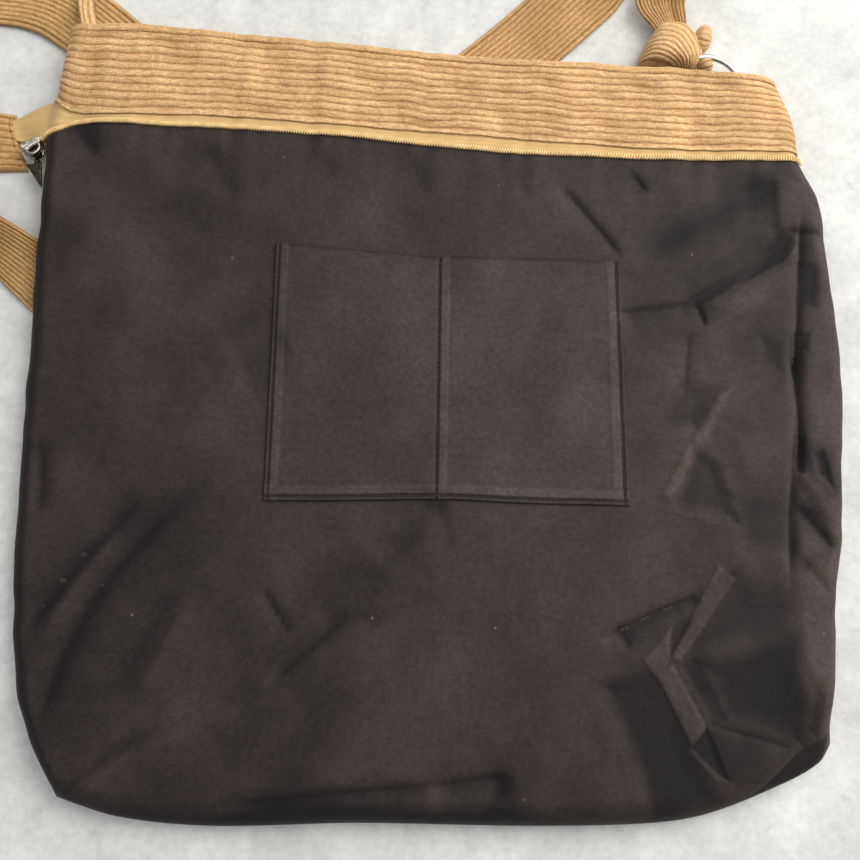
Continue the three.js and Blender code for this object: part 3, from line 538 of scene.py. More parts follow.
def skin(side, u, v):
    """The lining's outer face. The upper panel (side 1) rises from the side fold to a crown that is highest
    in the middle, with facets and less its folds. The other (side -1) drops from the fold to the floor, over
    strap and zip."""
    u, v = np.broadcast_arrays(np.asarray(u, float), np.asarray(v, float))
    x, y, width = plan(u, v)
    raised = channel(x, y)
    fold = curve(HEIGHTS, "v", "fold", v) + CHANNEL_SHARE * raised
    if side > 0:
        rise = edge_rise(u, v, width, SIDE_RADIUS, BOTTOM_RADIUS)
        crown = mix(curve(HEIGHTS, "v", "side", v), curve(HEIGHTS, "v", "middle", v), 4 * u * (1 - u))
        on_lining = smooth(0.155, 0.2, v)
        waves = 1.1 * ripple(x, y, 84, 3) + 0.5 * ripple(x, y, 36, 4) + 0.1 * ripple(x, y, 14, 6)
        uneven = lively(x, y) * waves
        pressed = facets(x, y)[0] - fold_depth(x, y)
        z = fold + SEAM_GAP + (crown + (pressed + uneven) * on_lining - gathers(x, v)) * rise
    else:
        rise = edge_rise(u, v, width, BACK_RADIUS, BACK_RADIUS)
        over_zip = (FACING_RISE + ZIP_RIDGE * smooth(0.07, V_FACING, v)) * (1 - smooth(V_COIL, V_BODY, v))
        z = mix(fold - SEAM_GAP, over_zip + raised, rise)
    return np.stack([x, y, z], axis=-1)


def outward(side, u, v):
    """The direction straight out of the bag, from the slopes of the skin along u and v. It is level on the
    edges."""
    u, v = np.broadcast_arrays(np.asarray(u, float), np.asarray(v, float))
    step = 4e-4
    u0, u1 = np.clip(u - step, 0, 1), np.clip(u + step, 0, 1)
    v0, v1 = np.clip(v - step, 0, 1), np.clip(v + step, 0, 1)
    across = (skin(side, u1, v) - skin(side, u0, v)) / (u1 - u0)[..., None]
    down = (skin(side, u, v1) - skin(side, u, v0)) / (v1 - v0)[..., None]
    out = unit(np.cross(down, across) * side)
    on_edge = (u == 0) | (u == 1) | (v == 1)
    level = np.stack([1.0 * (u == 1) - 1.0 * (u == 0), -1.0 * (v == 1), 0 * u], axis=-1)
    return np.where(on_edge[..., None], unit(level), out)


def layer(side, u, v, distance):
    """Points at a distance out of the lining's outer face."""
    distance = np.asarray(distance, float)
    return skin(side, u, v) + outward(side, u, v) * distance[..., None]


def grid_quads(ids):
    """Four-sided faces between neighbouring rows and columns of a grid of point numbers."""
    return np.stack([ids[:-1, :-1], ids[:-1, 1:], ids[1:, 1:], ids[1:, :-1]], axis=-1).reshape(-1, 4)


def rim(ids):
    """The point numbers once round the edge of a grid."""
    return np.concatenate([ids[0, :-1], ids[:-1, -1], ids[-1, :0:-1], ids[:0:-1, 0]])


def facing_outwards(points, quads, triangles):
    """The same surface, turned over if the volume inside it, summed over its triangles, is below zero."""
    corners = points[np.concatenate([quads[:, :3], quads[:, [0, 2, 3]], triangles])]
    volume = np.einsum("ij,ij->", corners[:, 0], np.cross(corners[:, 1], corners[:, 2]))
    if volume < 0:
        quads, triangles = quads[:, ::-1], triangles[:, ::-1]
    return points, quads, triangles


def cloth_wall(outer, inner):
    """A closed wall between a fine outer grid and an inner grid whose steps are a whole number of times
    larger. The rim is a fan of triangles from each inner rim point to the outer rim."""
    rows, columns = outer.shape[:2]
    outer_ids = np.arange(rows * columns).reshape(rows, columns)
    inner_ids = rows * columns + np.arange(inner.shape[0] * inner.shape[1]).reshape(inner.shape[:2])
    quads = np.concatenate([grid_quads(outer_ids), grid_quads(inner_ids)[:, ::-1]])
    coarse = rim(inner_ids)
    fine = rim(outer_ids)
    after = np.roll(fine, -1).reshape(len(coarse), -1)
    fine = fine.reshape(len(coarse), -1)
    centre = np.broadcast_to(coarse[:, None], fine.shape)
    fans = np.stack([after, fine, centre], axis=-1).reshape(-1, 3)
    closing = np.stack([after[:, -1], coarse, np.roll(coarse, -1)], axis=-1)
    points = np.concatenate([outer.reshape(-1, 3), inner.reshape(-1, 3)])
    return facing_outwards(points, quads, np.concatenate([fans, closing]))


def both_faces(uv):
    """Coordinates on a wall's fine grid, then at the points of its coarse grid."""
    return np.concatenate([uv.reshape(-1, 2), uv[::COARSE, ::COARSE].reshape(-1, 2)])


def filled(values, surface, rest):
    """Values for the first points of a surface, then one value for the rest of them."""
    return np.append(values.ravel(), np.full(len(surface[0]) - values.size, rest))


def rod(sections):
    """A closed rod through cross-sections with the same number of points, with a fan over each end."""
    count, around = sections.shape[:2]
    ids = np.arange(count * around).reshape(count, around)
    beside = np.roll(ids, -1, axis=1)
    quads = np.stack([ids[:-1], beside[:-1], beside[1:], ids[1:]], axis=-1).reshape(-1, 4)
    start, end = np.full(around, count * around), np.full(around, count * around + 1)
    caps = [np.stack([start, beside[0], ids[0]], axis=-1), np.stack([end, ids[-1], beside[-1]], axis=-1)]
    points = np.concatenate([sections.reshape(-1, 3), [sections[0].mean(0)], [sections[-1].mean(0)]])
    return facing_outwards(points, quads, np.concatenate(caps))


def hoop(sections):
    """A closed hoop through cross-sections, the last joined to the first."""
    ids = np.arange(sections.shape[0] * sections.shape[1]).reshape(sections.shape[:2])
    beside = np.roll(ids, -1, axis=1)
    quads = np.stack([ids, beside, np.roll(beside, -1, axis=0), np.roll(ids, -1, axis=0)], axis=-1)
    return facing_outwards(sections.reshape(-1, 3), quads.reshape(-1, 4), np.zeros((0, 3), int))


def joined(surfaces):
    """Several surfaces as one."""
    shift = np.cumsum([0] + [len(s[0]) for s in surfaces[:-1]])
    points = np.concatenate([s[0] for s in surfaces])
    quads = np.concatenate([s[1] + k for s, k in zip(surfaces, shift)])
    triangles = np.concatenate([s[2] + k for s, k in zip(surfaces, shift)])
    return points, quads, triangles


def along(path):
    """Directions along a path of points, from the points before and after each."""
    ahead = np.concatenate([path[1:], path[-1:]])
    behind = np.concatenate([path[:1], path[:-1]])
    return unit(ahead - behind)


def lengths(path):
    """The distance along a path to each of its points."""
    steps = np.linalg.norm(np.diff(path, axis=0), axis=-1)
    return np.concatenate([[0], np.cumsum(steps)])


def read_along(values, place, at):
    """Values at the points of a path, read at other distances along it."""
    return np.stack([np.interp(at, place, values[:, k]) for k in range(3)], axis=-1)


def wire(path, across, up, radius, sides):
    """A round wire along a path, with given directions across and up at each point."""
    turn = even_turn(sides)
    circle = across[:, None] * np.cos(turn)[:, None] + up[:, None] * np.sin(turn)[:, None]
    return rod(path[:, None] + radius * circle)


def stitches(path, up, pitch, fill, radius):
    """A row of stitches: the path is cut into even lengths, and each stitch is a short six-sided thread over
    a filled share of its length, bowed up in the middle and thin at its ends."""
    place = lengths(path)
    count = max(int(place[-1] / pitch), 1)
    share = np.array([0, 0.18, 0.5, 0.82, 1.0])
    at = (np.arange(count)[:, None] + 0.5 + (share - 0.5) * fill) * place[-1] / count
    centre = read_along(path, place, at)
    lift = unit(read_along(up, place, at))
    direction = unit(centre[:, -1:] - centre[:, :1])
    aside = unit(np.cross(np.broadcast_to(direction, lift.shape), lift))
    bow = 0.12 * np.sin(np.pi * share)
    centre = centre + lift * bow[None, :, None]
    size = radius * np.array([0.35, 0.9, 1.0, 0.9, 0.35])
    turn = even_turn(6)
    circle = aside[:, :, None] * np.cos(turn)[:, None] + lift[:, :, None] * np.sin(turn)[:, None]
    sections = centre[:, :, None] + circle * size[None, :, None, None]
    _, quads, triangles = rod(sections[0])
    ends = np.stack([sections[:, 0].mean(1), sections[:, -1].mean(1)], axis=1)
    points = np.concatenate([sections.reshape(count, -1, 3), ends], axis=1)
    shift = np.arange(count)[:, None, None] * points.shape[1]
    return points.reshape(-1, 3), (quads + shift).reshape(-1, 4), (triangles + shift).reshape(-1, 3)


def add_piece(name, surface, finish, slot, nodes=(), body="bag", uv=None, **attributes):
    """A mesh object at the origin from points in millimetres and faces, in its finish. It rides on a body
    and stands for CAD nodes."""
    points, quads, triangles = surface
    mesh = bpy.data.meshes.new(name)
    corners = np.concatenate([quads.ravel(), triangles.ravel()]).astype(np.int32)
    starts = np.concatenate([np.arange(len(quads)) * 4, quads.size + np.arange(len(triangles)) * 3])
    mesh.vertices.add(len(points))
    mesh.vertices.foreach_set("co", (points * MM).astype(np.float32).ravel())
    mesh.loops.add(len(corners))
    mesh.loops.foreach_set("vertex_index", corners)
    mesh.polygons.add(len(starts))
    mesh.polygons.foreach_set("loop_start", starts.astype(np.int32))
    mesh.polygons.foreach_set("use_smooth", np.ones(len(starts), bool))
    if uv is not None:
        mesh.uv_layers.new(name="UVMap").data.foreach_set("uv", uv[corners].astype(np.float32).ravel())
    for key, values in attributes.items():
        made = mesh.attributes.new(key, "FLOAT", "POINT")
        made.data.foreach_set("value", values.astype(np.float32).ravel())
    mesh.update(calc_edges=True)
    mesh.validate()
    mesh.materials.append(finish)
    piece = bpy.data.objects.new(name, mesh)
    bpy.context.scene.collection.objects.link(piece)
    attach(piece, body)
    if nodes:
        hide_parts(*nodes)
    return piece


# Finishes
def srgb(red, green, blue):
    """A colour given by its 0 to 255 screen values, as linear light."""
    c = np.array([red, green, blue]) / 255
    linear = np.where(c <= 0.04045, c / 12.92, ((c + 0.055) / 1.055) ** 2.4)
    return (*linear.tolist(), 1.0)


def finish_tree(name, **sockets):
    """A new material with constants on its shader's own sockets: its node tree and its shader."""
    made = bpy.data.materials.new(name)
    made.use_nodes = True
    shader = made.node_tree.nodes["Principled BSDF"]
    for socket, value in sockets.items():
        shader.inputs[socket.replace("_", " ")].default_value = value
    return made, made.node_tree, shader


def node(tree, kind, inputs=(), **settings):
    """A shader node with its settings; an input is a value or another node's output."""
    made = tree.nodes.new("ShaderNode" + kind)
    for key, value in settings.items():
        setattr(made, key, value)
    for key, value in dict(inputs).items():
        if isinstance(value, bpy.types.NodeSocket):
            tree.links.new(value, made.inputs[key])
        else:
            made.inputs[key].default_value = value
    return made


def ramp(tree, value, *stops):
    """A colour ramp over a value, with (place, colour) stops."""
    made = node(tree, "ValToRGB", {"Fac": value})
    elements = made.color_ramp.elements
    while len(elements) < len(stops):
        elements.new(0.5)
    for element, (place, colour) in zip(elements, stops):
        element.position = place
        element.color = colour
    return made.outputs["Color"]


def grey(value):
    """A grey of that linear value."""
    return (value, value, value, 1.0)


def times(tree, colour, factor):
    """A colour multiplied by another."""
    made = node(tree, "Mix", data_type="RGBA", blend_type="MULTIPLY")
    made.inputs["Factor"].default_value = 1.0
    tree.links.new(colour, made.inputs["A"])
    tree.links.new(factor, made.inputs["B"])
    return made.outputs["Result"]


def object_place(tree):
    """The coordinate in the piece's own frame."""
    return node(tree, "TexCoord").outputs["Object"]


def combined(tree, operation, first, second):
    """The value of a sum, a product or a comparison."""
    return node(tree, "Math", {0: first, 1: second}, operation=operation).outputs["Value"]


def noise(tree, place, scale, detail, roughness=0.55, stretch=None):
    """Noise over a coordinate, stretched by a mapping if asked."""
    if stretch is not None:
        place = node(tree, "Mapping", {"Vector": place, "Scale": stretch}).outputs["Vector"]
    inputs = {"Vector": place, "Scale": scale, "Detail": detail, "Roughness": roughness}
    return node(tree, "TexNoise", inputs).outputs["Fac"]


def bump(tree, shader, height, strength, distance):
    """Fine relief on the shader from a height."""
    made = node(tree, "Bump", {"Height": height, "Strength": strength, "Distance": distance})
    tree.links.new(made.outputs["Normal"], shader.inputs["Normal"])


def corduroy_finish(name, groove, flank, crown):
    """Cut pile: colour by the wale attribute, from painted shade in the groove to a painted highlight on the
    crown, lighter and darker patches where the pile lies, short streaks along the wale, and fine speckle that
    is also relief."""
    made, tree, shader = finish_tree(
        name, Roughness=0.92, Sheen_Weight=0.35, Sheen_Roughness=0.45, Sheen_Tint=srgb(255, 226, 180),
        Specular_IOR_Level=0.12)
    place = object_place(tree)
    uv = node(tree, "UVMap", uv_map="UVMap").outputs["UV"]
    height = node(tree, "Attribute", attribute_name="wale").outputs["Fac"]
    # Painted shade in the grooves and a painted highlight on the crowns
    colour = ramp(tree, height, (0.0, groove), (0.42, flank), (0.95, crown))
    patches = noise(tree, place, 34.0, 2.0)
    streaks = noise(tree, uv, 60.0, 4.0, 0.6, stretch=(0.45, 1.6, 1.0))
    speckle = noise(tree, place, 1150.0, 2.0)
    colour = times(tree, colour, ramp(tree, patches, (0.3, grey(0.84)), (0.7, grey(1.1))))
    colour = times(tree, colour, ramp(tree, streaks, (0.28, grey(0.68)), (0.72, grey(1.22))))
    colour = times(tree, colour, ramp(tree, speckle, (0.3, grey(0.76)), (0.7, grey(1.24))))
    tree.links.new(colour, shader.inputs["Base Color"])
    pile = combined(tree, "ADD", streaks, speckle)
    bump(tree, shader, pile, 0.5, 0.0004)
    return made


def lining_finish(name, dark, light, sheen):
    """Brushed cotton: two browns in soft patches, lighter and darker by an attribute of painted light and
    shade, a fine crossed weave, and sparse lint."""
    made, tree, shader = finish_tree(
        name, Roughness=0.7, Sheen_Weight=sheen, Sheen_Roughness=0.5, Sheen_Tint=srgb(232, 218, 210),
        Specular_IOR_Level=0.2)
    place = object_place(tree)
    cloudy = noise(tree, place, 26.0, 5.0, 0.6)
    # Fine random grain of the nap
    nap = noise(tree, place, 420.0, 4.0, 0.7)
    across = noise(tree, place, 900.0, 2.0, 0.5, stretch=(0.35, 1.6, 1.0))
    down = noise(tree, place, 900.0, 2.0, 0.5, stretch=(1.6, 0.35, 1.0))
    weave = combined(tree, "ADD", across, down)
    colour = ramp(tree, cloudy, (0.3, dark), (0.72, light))
    # Light and shade painted from the piece's attribute: down to a quarter in shade, up to 1.75 times in
    # light
    painted_light_and_shade = node(tree, "Attribute", attribute_name="nap").outputs["Fac"]
    colour = times(tree, colour, ramp(tree, painted_light_and_shade, (0.0, grey(0.25)), (0.5, grey(1.0)), (1.0, grey(1.75))))
    colour = times(tree, colour, ramp(tree, nap, (0.25, grey(0.6)), (0.75, grey(1.4))))
    colour = times(tree, colour, ramp(tree, weave, (0.35, grey(0.74)), (0.65, grey(1.22))))
    lint_place = node(tree, "Mapping", {"Vector": place, "Rotation": (0.3, 0.2, 0.7)}).outputs["Vector"]
    cells = node(tree, "TexVoronoi", {"Vector": lint_place, "Scale": 210.0, "Randomness": 1.0})
    chosen = node(tree, "SeparateColor", {"Color": cells.outputs["Color"]}).outputs["Red"]
    few = combined(tree, "GREATER_THAN", chosen, 0.992)
    spot = combined(tree, "LESS_THAN", cells.outputs["Distance"], 0.13)
    lint = combined(tree, "MULTIPLY", combined(tree, "MULTIPLY", few, spot), 0.25)
    speck = node(tree, "Mix", {"Factor": lint}, data_type="RGBA")
    tree.links.new(colour, speck.inputs["A"])
    speck.inputs["B"].default_value = srgb(150, 138, 130)
    tree.links.new(speck.outputs["Result"], shader.inputs["Base Color"])
    relief = combined(tree, "ADD", weave, nap)
    bump(tree, shader, relief, 0.35, 0.0002)
    return made


def pocket_finish(name):
    """The lining's cloth a shade lighter. An attribute paints sheen on the pressed turned edges, and shade on
    the seams and a shadow along the outer edges."""
    made = lining_finish(name, srgb(38, 31.3, 28.7), srgb(55, 46.6, 43.8), 0.05)
    tree = made.node_tree
    shader = tree.nodes["Principled BSDF"]
    colour = shader.inputs["Base Color"].links[0].from_socket
    pressed = node(tree, "Attribute", attribute_name="pressed").outputs["Fac"]
    lighter = ramp(tree, pressed, (0.0, grey(0.3)), (0.5, grey(1.0)), (1.0, grey(1.32)))
    tree.links.new(times(tree, colour, lighter), shader.inputs["Base Color"])
    return made


def tape_finish(name):
    """Smooth woven tape: fine ribs across, a soft shade and slight soil."""
    made, tree, shader = finish_tree(name, Roughness=0.72, Sheen_Weight=0.2, Specular_IOR_Level=0.3)
    place = object_place(tree)
    uv = node(tree, "UVMap", uv_map="UVMap").outputs["UV"]
    ribs = node(tree, "TexWave", {"Vector": uv, "Scale": 70.0, "Distortion": 0.6}).outputs["Fac"]
    soil = noise(tree, place, 70.0, 4.0)
    colour = ramp(tree, soil, (0.3, srgb(188, 152, 94)), (0.7, srgb(208, 172, 114)))
    colour = times(tree, colour, ramp(tree, ribs, (0.2, grey(0.9)), (0.8, grey(1.05))))
    tree.links.new(colour, shader.inputs["Base Color"])
    bump(tree, shader, ribs, 0.3, 0.0002)
    return made


def coil_finish(name):
    """Nylon monofilament: satin, a little paler on some teeth."""
    made, tree, shader = finish_tree(name, Roughness=0.38, Specular_IOR_Level=0.5)
    place = object_place(tree)
    shade = noise(tree, place, 240.0, 2.0)
    colour = ramp(tree, shade, (0.3, srgb(214, 178, 112)), (0.7, srgb(240, 212, 152)))
    tree.links.new(colour, shader.inputs["Base Color"])
    bump(tree, shader, shade, 0.1, 0.0002)
    return made


def thread_finish(name, dark, light):
    """Sewing thread: two shades twisted along the piece."""
    made, tree, shader = finish_tree(name, Roughness=0.7, Sheen_Weight=0.2, Specular_IOR_Level=0.3)
    place = object_place(tree)
    twist = noise(tree, place, 1500.0, 2.0)
    tree.links.new(ramp(tree, twist, (0.3, dark), (0.7, light)), shader.inputs["Base Color"])
    bump(tree, shader, twist, 0.3, 0.0002)
    return made


def metal_finish(name, dark, light, rough_low, rough_high, scale):
    """Plated metal: two shades in worn clouds, roughness that follows them, and faint scratches."""
    made, tree, shader = finish_tree(name, Metallic=1.0)
    place = object_place(tree)
    worn = noise(tree, place, scale, 5.0, 0.65)
    scratches = noise(tree, place, scale * 3, 3.0, 0.6, stretch=(4.0, 0.3, 1.0))
    tree.links.new(ramp(tree, worn, (0.35, dark), (0.65, light)), shader.inputs["Base Color"])
    rough = node(tree, "MapRange", {"Value": worn, "To Min": rough_high, "To Max": rough_low})
    tree.links.new(rough.outputs["Result"], shader.inputs["Roughness"])
    bump(tree, shader, scratches, 0.12, 0.0001)
    return made


CORDUROY = corduroy_finish("camel_corduroy", srgb(120, 85, 50), srgb(183, 142, 96), srgb(212, 173, 122))
# A darker copy of the corduroy: painted shade for the strap and the zip's end tab, which lie low in shade
SHADED_CORDUROY = corduroy_finish("corduroy_with_painted_shade", srgb(104, 72, 40), srgb(164, 124, 78), srgb(190, 150, 100))
LINING = lining_finish("brown_lining", srgb(32, 25.3, 22.8), srgb(49.5, 41, 38), 0.05)
POCKET_CLOTH = pocket_finish("pocket_lining")
TAPE = tape_finish("mustard_tape")
COIL = coil_finish("nylon_coil")
TAN_THREAD = thread_finish("tan_thread", srgb(150, 108, 60), srgb(206, 162, 100))
DARK_THREAD = thread_finish("dark_thread", srgb(14, 12, 11), srgb(32, 27, 26))
NICKEL = metal_finish("antique_nickel", srgb(120, 112, 92), srgb(222, 216, 198), 0.16, 0.42, 500.0)
DARK_METAL = metal_finish("dark_puller_metal", srgb(24, 22, 18), srgb(62, 57, 48), 0.22, 0.45, 300.0)
STEEL = metal_finish("ring_steel", srgb(190, 190, 188), srgb(232, 232, 230), 0.08, 0.22, 160.0)


# Lining, band and shell
def spread(count, even):
    """Steps from 0 to 1 that are closer at both ends: a share of even steps and the rest a half cosine."""
    t = np.linspace(0, 1, count)
    return even * t + (1 - even) * (0.5 - 0.5 * np.cos(np.pi * t))


def spread_end(count, even):
    """Steps from 0 to 1 that are closer at the end: a share of even steps and the rest a quarter sine."""
    t = np.linspace(0, 1, count)
    return even * t + (1 - even) * np.sin(0.5 * np.pi * t)


def graded(count, density):
    """Steps from 0 to 1 that are closer where a density is higher: its running sum, read backwards."""
    t = np.linspace(0, 1, len(density))
    total = np.concatenate([[0], np.cumsum((density[1:] + density[:-1]) / 2)])
    return np.interp(np.linspace(0, 1, count), total / total[-1], t)


def lining_panel(side, rows, columns):
    """A lining panel from the zip to the bottom: the skin itself, and a layer below it. Its painted shade is
    plain where it lies level, painted lighter where it leans towards the light and on ridges, and darker
    where it leans away and in valleys. A facet adds its own painted shade."""
    t = np.linspace(0, 1, 801)
    edges = 4 * np.exp(-np.minimum(t, 1 - t) / 0.012)
    u = graded(columns, 1 + 2 * smooth(0.66, 0.72, t) + edges)[None, :]
    down = graded(rows, 1 + 4 * np.exp((t - 1) / 0.02))
    v = mix(V_COIL + 0.002, 1.0, down)[:, None]
    outer = skin(side, u, v)
    out = outward(side, u, v)
    # Painted light and shade: lighter on slopes facing the light and on ridges, darker facing away and in
    # valleys
    nap = PLAIN + SLOPE_SHADE_GAIN * out @ PAINTED_LIGHT_WAY
    if side > 0:
        x, y = outer[..., 0], outer[..., 1]
        nap = nap + FACET_SHADE * facets(x, y)[1] - FOLD_SHADE * fold_depth(x, y)
    u, v = u[:, ::COARSE], v[::COARSE]
    surface = cloth_wall(outer, layer(side, u, v, 0.0 * (u + v) - LINING_THICKNESS))
    return surface, filled(np.clip(nap, 0, 1), surface, PLAIN)


def add_lining(name, made, nodes):
    """A lining piece from its surface and its nap."""
    surface, nap = made
    return add_piece(name, surface, LINING, "lining", nodes, nap=nap)


lining_front = add_lining("lining_front_panel", lining_panel(1, 329, 277), ["lining_front"])
lining_back = add_lining("lining_back_panel", lining_panel(-1, 105, 105), ["lining_back"])


def facing_band(side, columns, per_wale):
    """The corduroy band round the mouth: wales run along u, so the pile height is the wale wave down v, with
    wandering grooves. The top wale is pressed flat by its seam. The foot is pressed flat too and laps over
    the zip's tape, and both long edges round under."""
    rows = BAND_WALES * per_wale + 1
    u = np.broadcast_to(spread(columns, 0.5)[None, :], (rows, columns))
    v = np.broadcast_to(np.linspace(0, V_FACING - 0.002, rows)[:, None], (rows, columns))
    down = v / V_FACING * BAND_HEIGHT
    run = u * BAND_LENGTH
    wander = 0.1 * ripple(run, 0 * run, 55, 41) + 0.1 * ripple(run, down * 3, 38, 42)
    wander = wander + 0.16 * ripple(run, down * 0.4, 27, 44)
    phase = v / V_FACING * BAND_WALES + wander * smooth(0.5, 4, down)
    flat_top = 1 - smooth(3.6, 4.6, down)
    crushed = 0.78 + 0.28 * ripple(run, down * 2.5, 30, 43)
    flat_foot = 0.8 * smooth(BAND_HEIGHT - 3.2, BAND_HEIGHT - 1.4, down)
    height = mix(mix(wale(phase) * crushed, 0.72, flat_top), 0.95, flat_foot)
    seam = bell(down - BAND_SEAM, 0.5)
    rise = FACING_RISE + 0.3 * (side > 0) - WALE_DEPTH * (1 - height) - 0.35 * seam
    ends = rounded(down, 1.4) * rounded(BAND_HEIGHT - down - 0.4, 2.8)
    lap = smooth(BAND_HEIGHT - 3.6, BAND_HEIGHT - 2.4, down)
    under = mix(FACING_RISE - CORDUROY_THICKNESS, 0.2, lap)
    outer = layer(side, u, v, mix(under + mix(0.5, 0.3, lap), rise, ends))
    inner = layer(side, u[::COARSE, ::COARSE], v[::COARSE, ::COARSE], under[::COARSE, ::COARSE])
    surface = cloth_wall(outer, inner)
    uv = both_faces(np.stack([run * UV_ALONG, phase * UV_ACROSS], -1))
    # The pile value is lowered along the seam, painting shade in its groove
    return surface, uv, filled(height * (1 - 0.5 * seam), surface, PLAIN)


def with_rest(surface, uv, heights):
    """A corduroy surface with coordinates and pile heights for its last points too: nought and a low pile."""
    spare = np.zeros((len(surface[0]) - len(uv), 2))
    return surface, np.concatenate([uv, spare]), filled(heights, surface, LOW_PILE)


def add_corduroy(name, made, nodes, finish=CORDUROY):
    """A corduroy piece from its surface, its coordinates along and across the wales, and its pile height."""
    surface, uv, heights = with_rest(*made)
    return add_piece(name, surface, finish, "corduroy", nodes, uv=uv, wale=heights)


facing_front = add_corduroy("facing_front_band", facing_band(1, 385, 12), ["facing_front"])
facing_back = add_corduroy("facing_back_band", facing_band(-1, 193, 8), ["facing_back"])


def shell_panel(side, rows, columns):
    """The bag's own corduroy, turned inside: wales run down v on the face that shows in the mouth. The upper
    panel sinks away from its edges, below the band."""
    u = np.broadcast_to(spread(columns, 0.9)[None, :], (rows, columns))
    v = np.broadcast_to(spread_end(rows, 0.6)[:, None], (rows, columns))
    from_sides, from_bottom = smooth(0, 0.06, np.minimum(u, 1 - u)), smooth(0, 0.06, 1 - v)
    sink = SHELL_SINK * smooth(0.16, 0.24, v) * from_sides * from_bottom * (side > 0)
    top = -LINING_THICKNESS - GAP - sink
    phase = u * SHELL_WIDTH / WALE_PITCH
    height = wale(phase + 0.08 * ripple(u * SHELL_WIDTH, v * SHELL_LENGTH, 60, 51))
    away = rounded(v * SHELL_LENGTH, 1.5)
    inner = layer(side, u, v, top - CORDUROY_THICKNESS - 0.15 + 0.55 * (1 - height) * away)
    outer = layer(side, u[::COARSE, ::COARSE], v[::COARSE, ::COARSE], top[::COARSE, ::COARSE])
    surface = cloth_wall(inner, outer)
    uv = both_faces(np.stack([v * SHELL_LENGTH * UV_ALONG, phase * UV_ACROSS], -1))
    return surface, uv, filled(height, surface, PLAIN)


shell_front = add_corduroy("shell_front_panel", shell_panel(1, 61, 601), ["shell_front"])
shell_back = add_corduroy("shell_back_panel", shell_panel(-1, 61, 601), ["shell_back"])


# Zip
def tape_edges(side):
    """The upper and lower edges of a zip half and the way out of the cloth, from the right end along the bag
    and on through its loose end at the left. The upper edge lies under the band's foot."""
    u = np.linspace(0.998, 0.0035, TAPE_POINTS)
    middle = (V_FACING + V_COIL) / 2
    upper = skin(side, u, 0 * u + V_FACING - TAPE_LAP)
    lower = skin(side, u, 0 * u + V_COIL - 0.001)
    out = outward(side, u, 0 * u + middle)
    tail = resampled(TAPE_TAIL, TAIL_POINTS)
    z = tail["z"] - (0 if side > 0 else TAIL_DROP)
    upper = np.concatenate([upper, np.stack([tail["ux"], tail["uy"], z], -1)])
    lower = np.concatenate([lower, np.stack([tail["lx"], tail["ly"], z], -1)])
    out = np.concatenate([out, np.broadcast_to([-0.25, 0, side * 0.97], (TAIL_POINTS, 3))])
    return upper, lower, unit(out)


def zip_tape(side):
    """The tape between its two edges: shallow woven ribs along it, by three cosine waves from edge to edge,
    and a little slack."""
    upper, lower, out = tape_edges(side)
    t = np.linspace(0, 1, TAPE_COLUMNS)[None, :]
    along_zip = lengths(lower)[:, None]
    ribs = 0.16 * np.cos(2 * np.pi * t * 3) + 0.12 * ripple(along_zip, t * 8, 18, 61)
    flat = mix(upper[:, None], lower[:, None], t[..., None])
    top = flat + out[:, None] * (-GAP + ribs[..., None])
    bottom = flat + out[:, None] * (-GAP - TAPE_THICKNESS)
    uv = np.stack(np.broadcast_arrays(along_zip * UV_ALONG, t * TAPE_UV_ACROSS), -1)
    return cloth_wall(top, bottom[::COARSE, ::COARSE]), both_faces(uv)


def zip_coil(side):
    """The coil: a wire wound along the tape's lower edge, a flat turn for each tooth, pressed down in its
    middle where it is sewn. It stops short of the tape's loose end."""
    upper, lower, out = (edge[:-COIL_SHORT] for edge in tape_edges(side))
    towards = unit(upper - lower)
    centre = lower + out * COIL_LIFT
    place = lengths(centre)
    turns = int(place[-1] / COIL_PITCH)
    at = np.linspace(0, place[-1], turns * COIL_STEPS)
    centre = read_along(centre, place, at)
    towards = unit(read_along(towards, place, at))
    out = unit(read_along(out, place, at))
    turn = at / COIL_PITCH * 2 * np.pi
    lift = COIL_RISE * np.sin(turn) * (1 - COIL_DIP * np.abs(np.sin(turn)) ** 6)
    path = centre + towards * (COIL_REACH * np.cos(turn))[:, None] + out * lift[:, None]
    radial = unit(towards * np.cos(turn)[:, None] + out * np.sin(turn)[:, None])
    side_way = unit(np.cross(along(path), radial))
    return wire(path, radial, side_way, COIL_WIRE, COIL_SIDES)


for which, side in (("front", 1), ("back", -1)):
    surface, uv = zip_tape(side)
    add_piece(f"zip_tape_{which}_half", surface, TAPE, "zip_tape", [f"zip_tape_{which}"], uv=uv)
    add_piece(f"zip_coil_{which}_teeth", zip_coil(side), COIL, "zip_coil", [f"zip_coil_{which}"])


def tab_plan(s, t):
    """A place in the tab's outline: s from its left edge to its right edge, t from its top to its bottom."""
    return between_edges(TAB_EDGES, "left", "right", t, s)


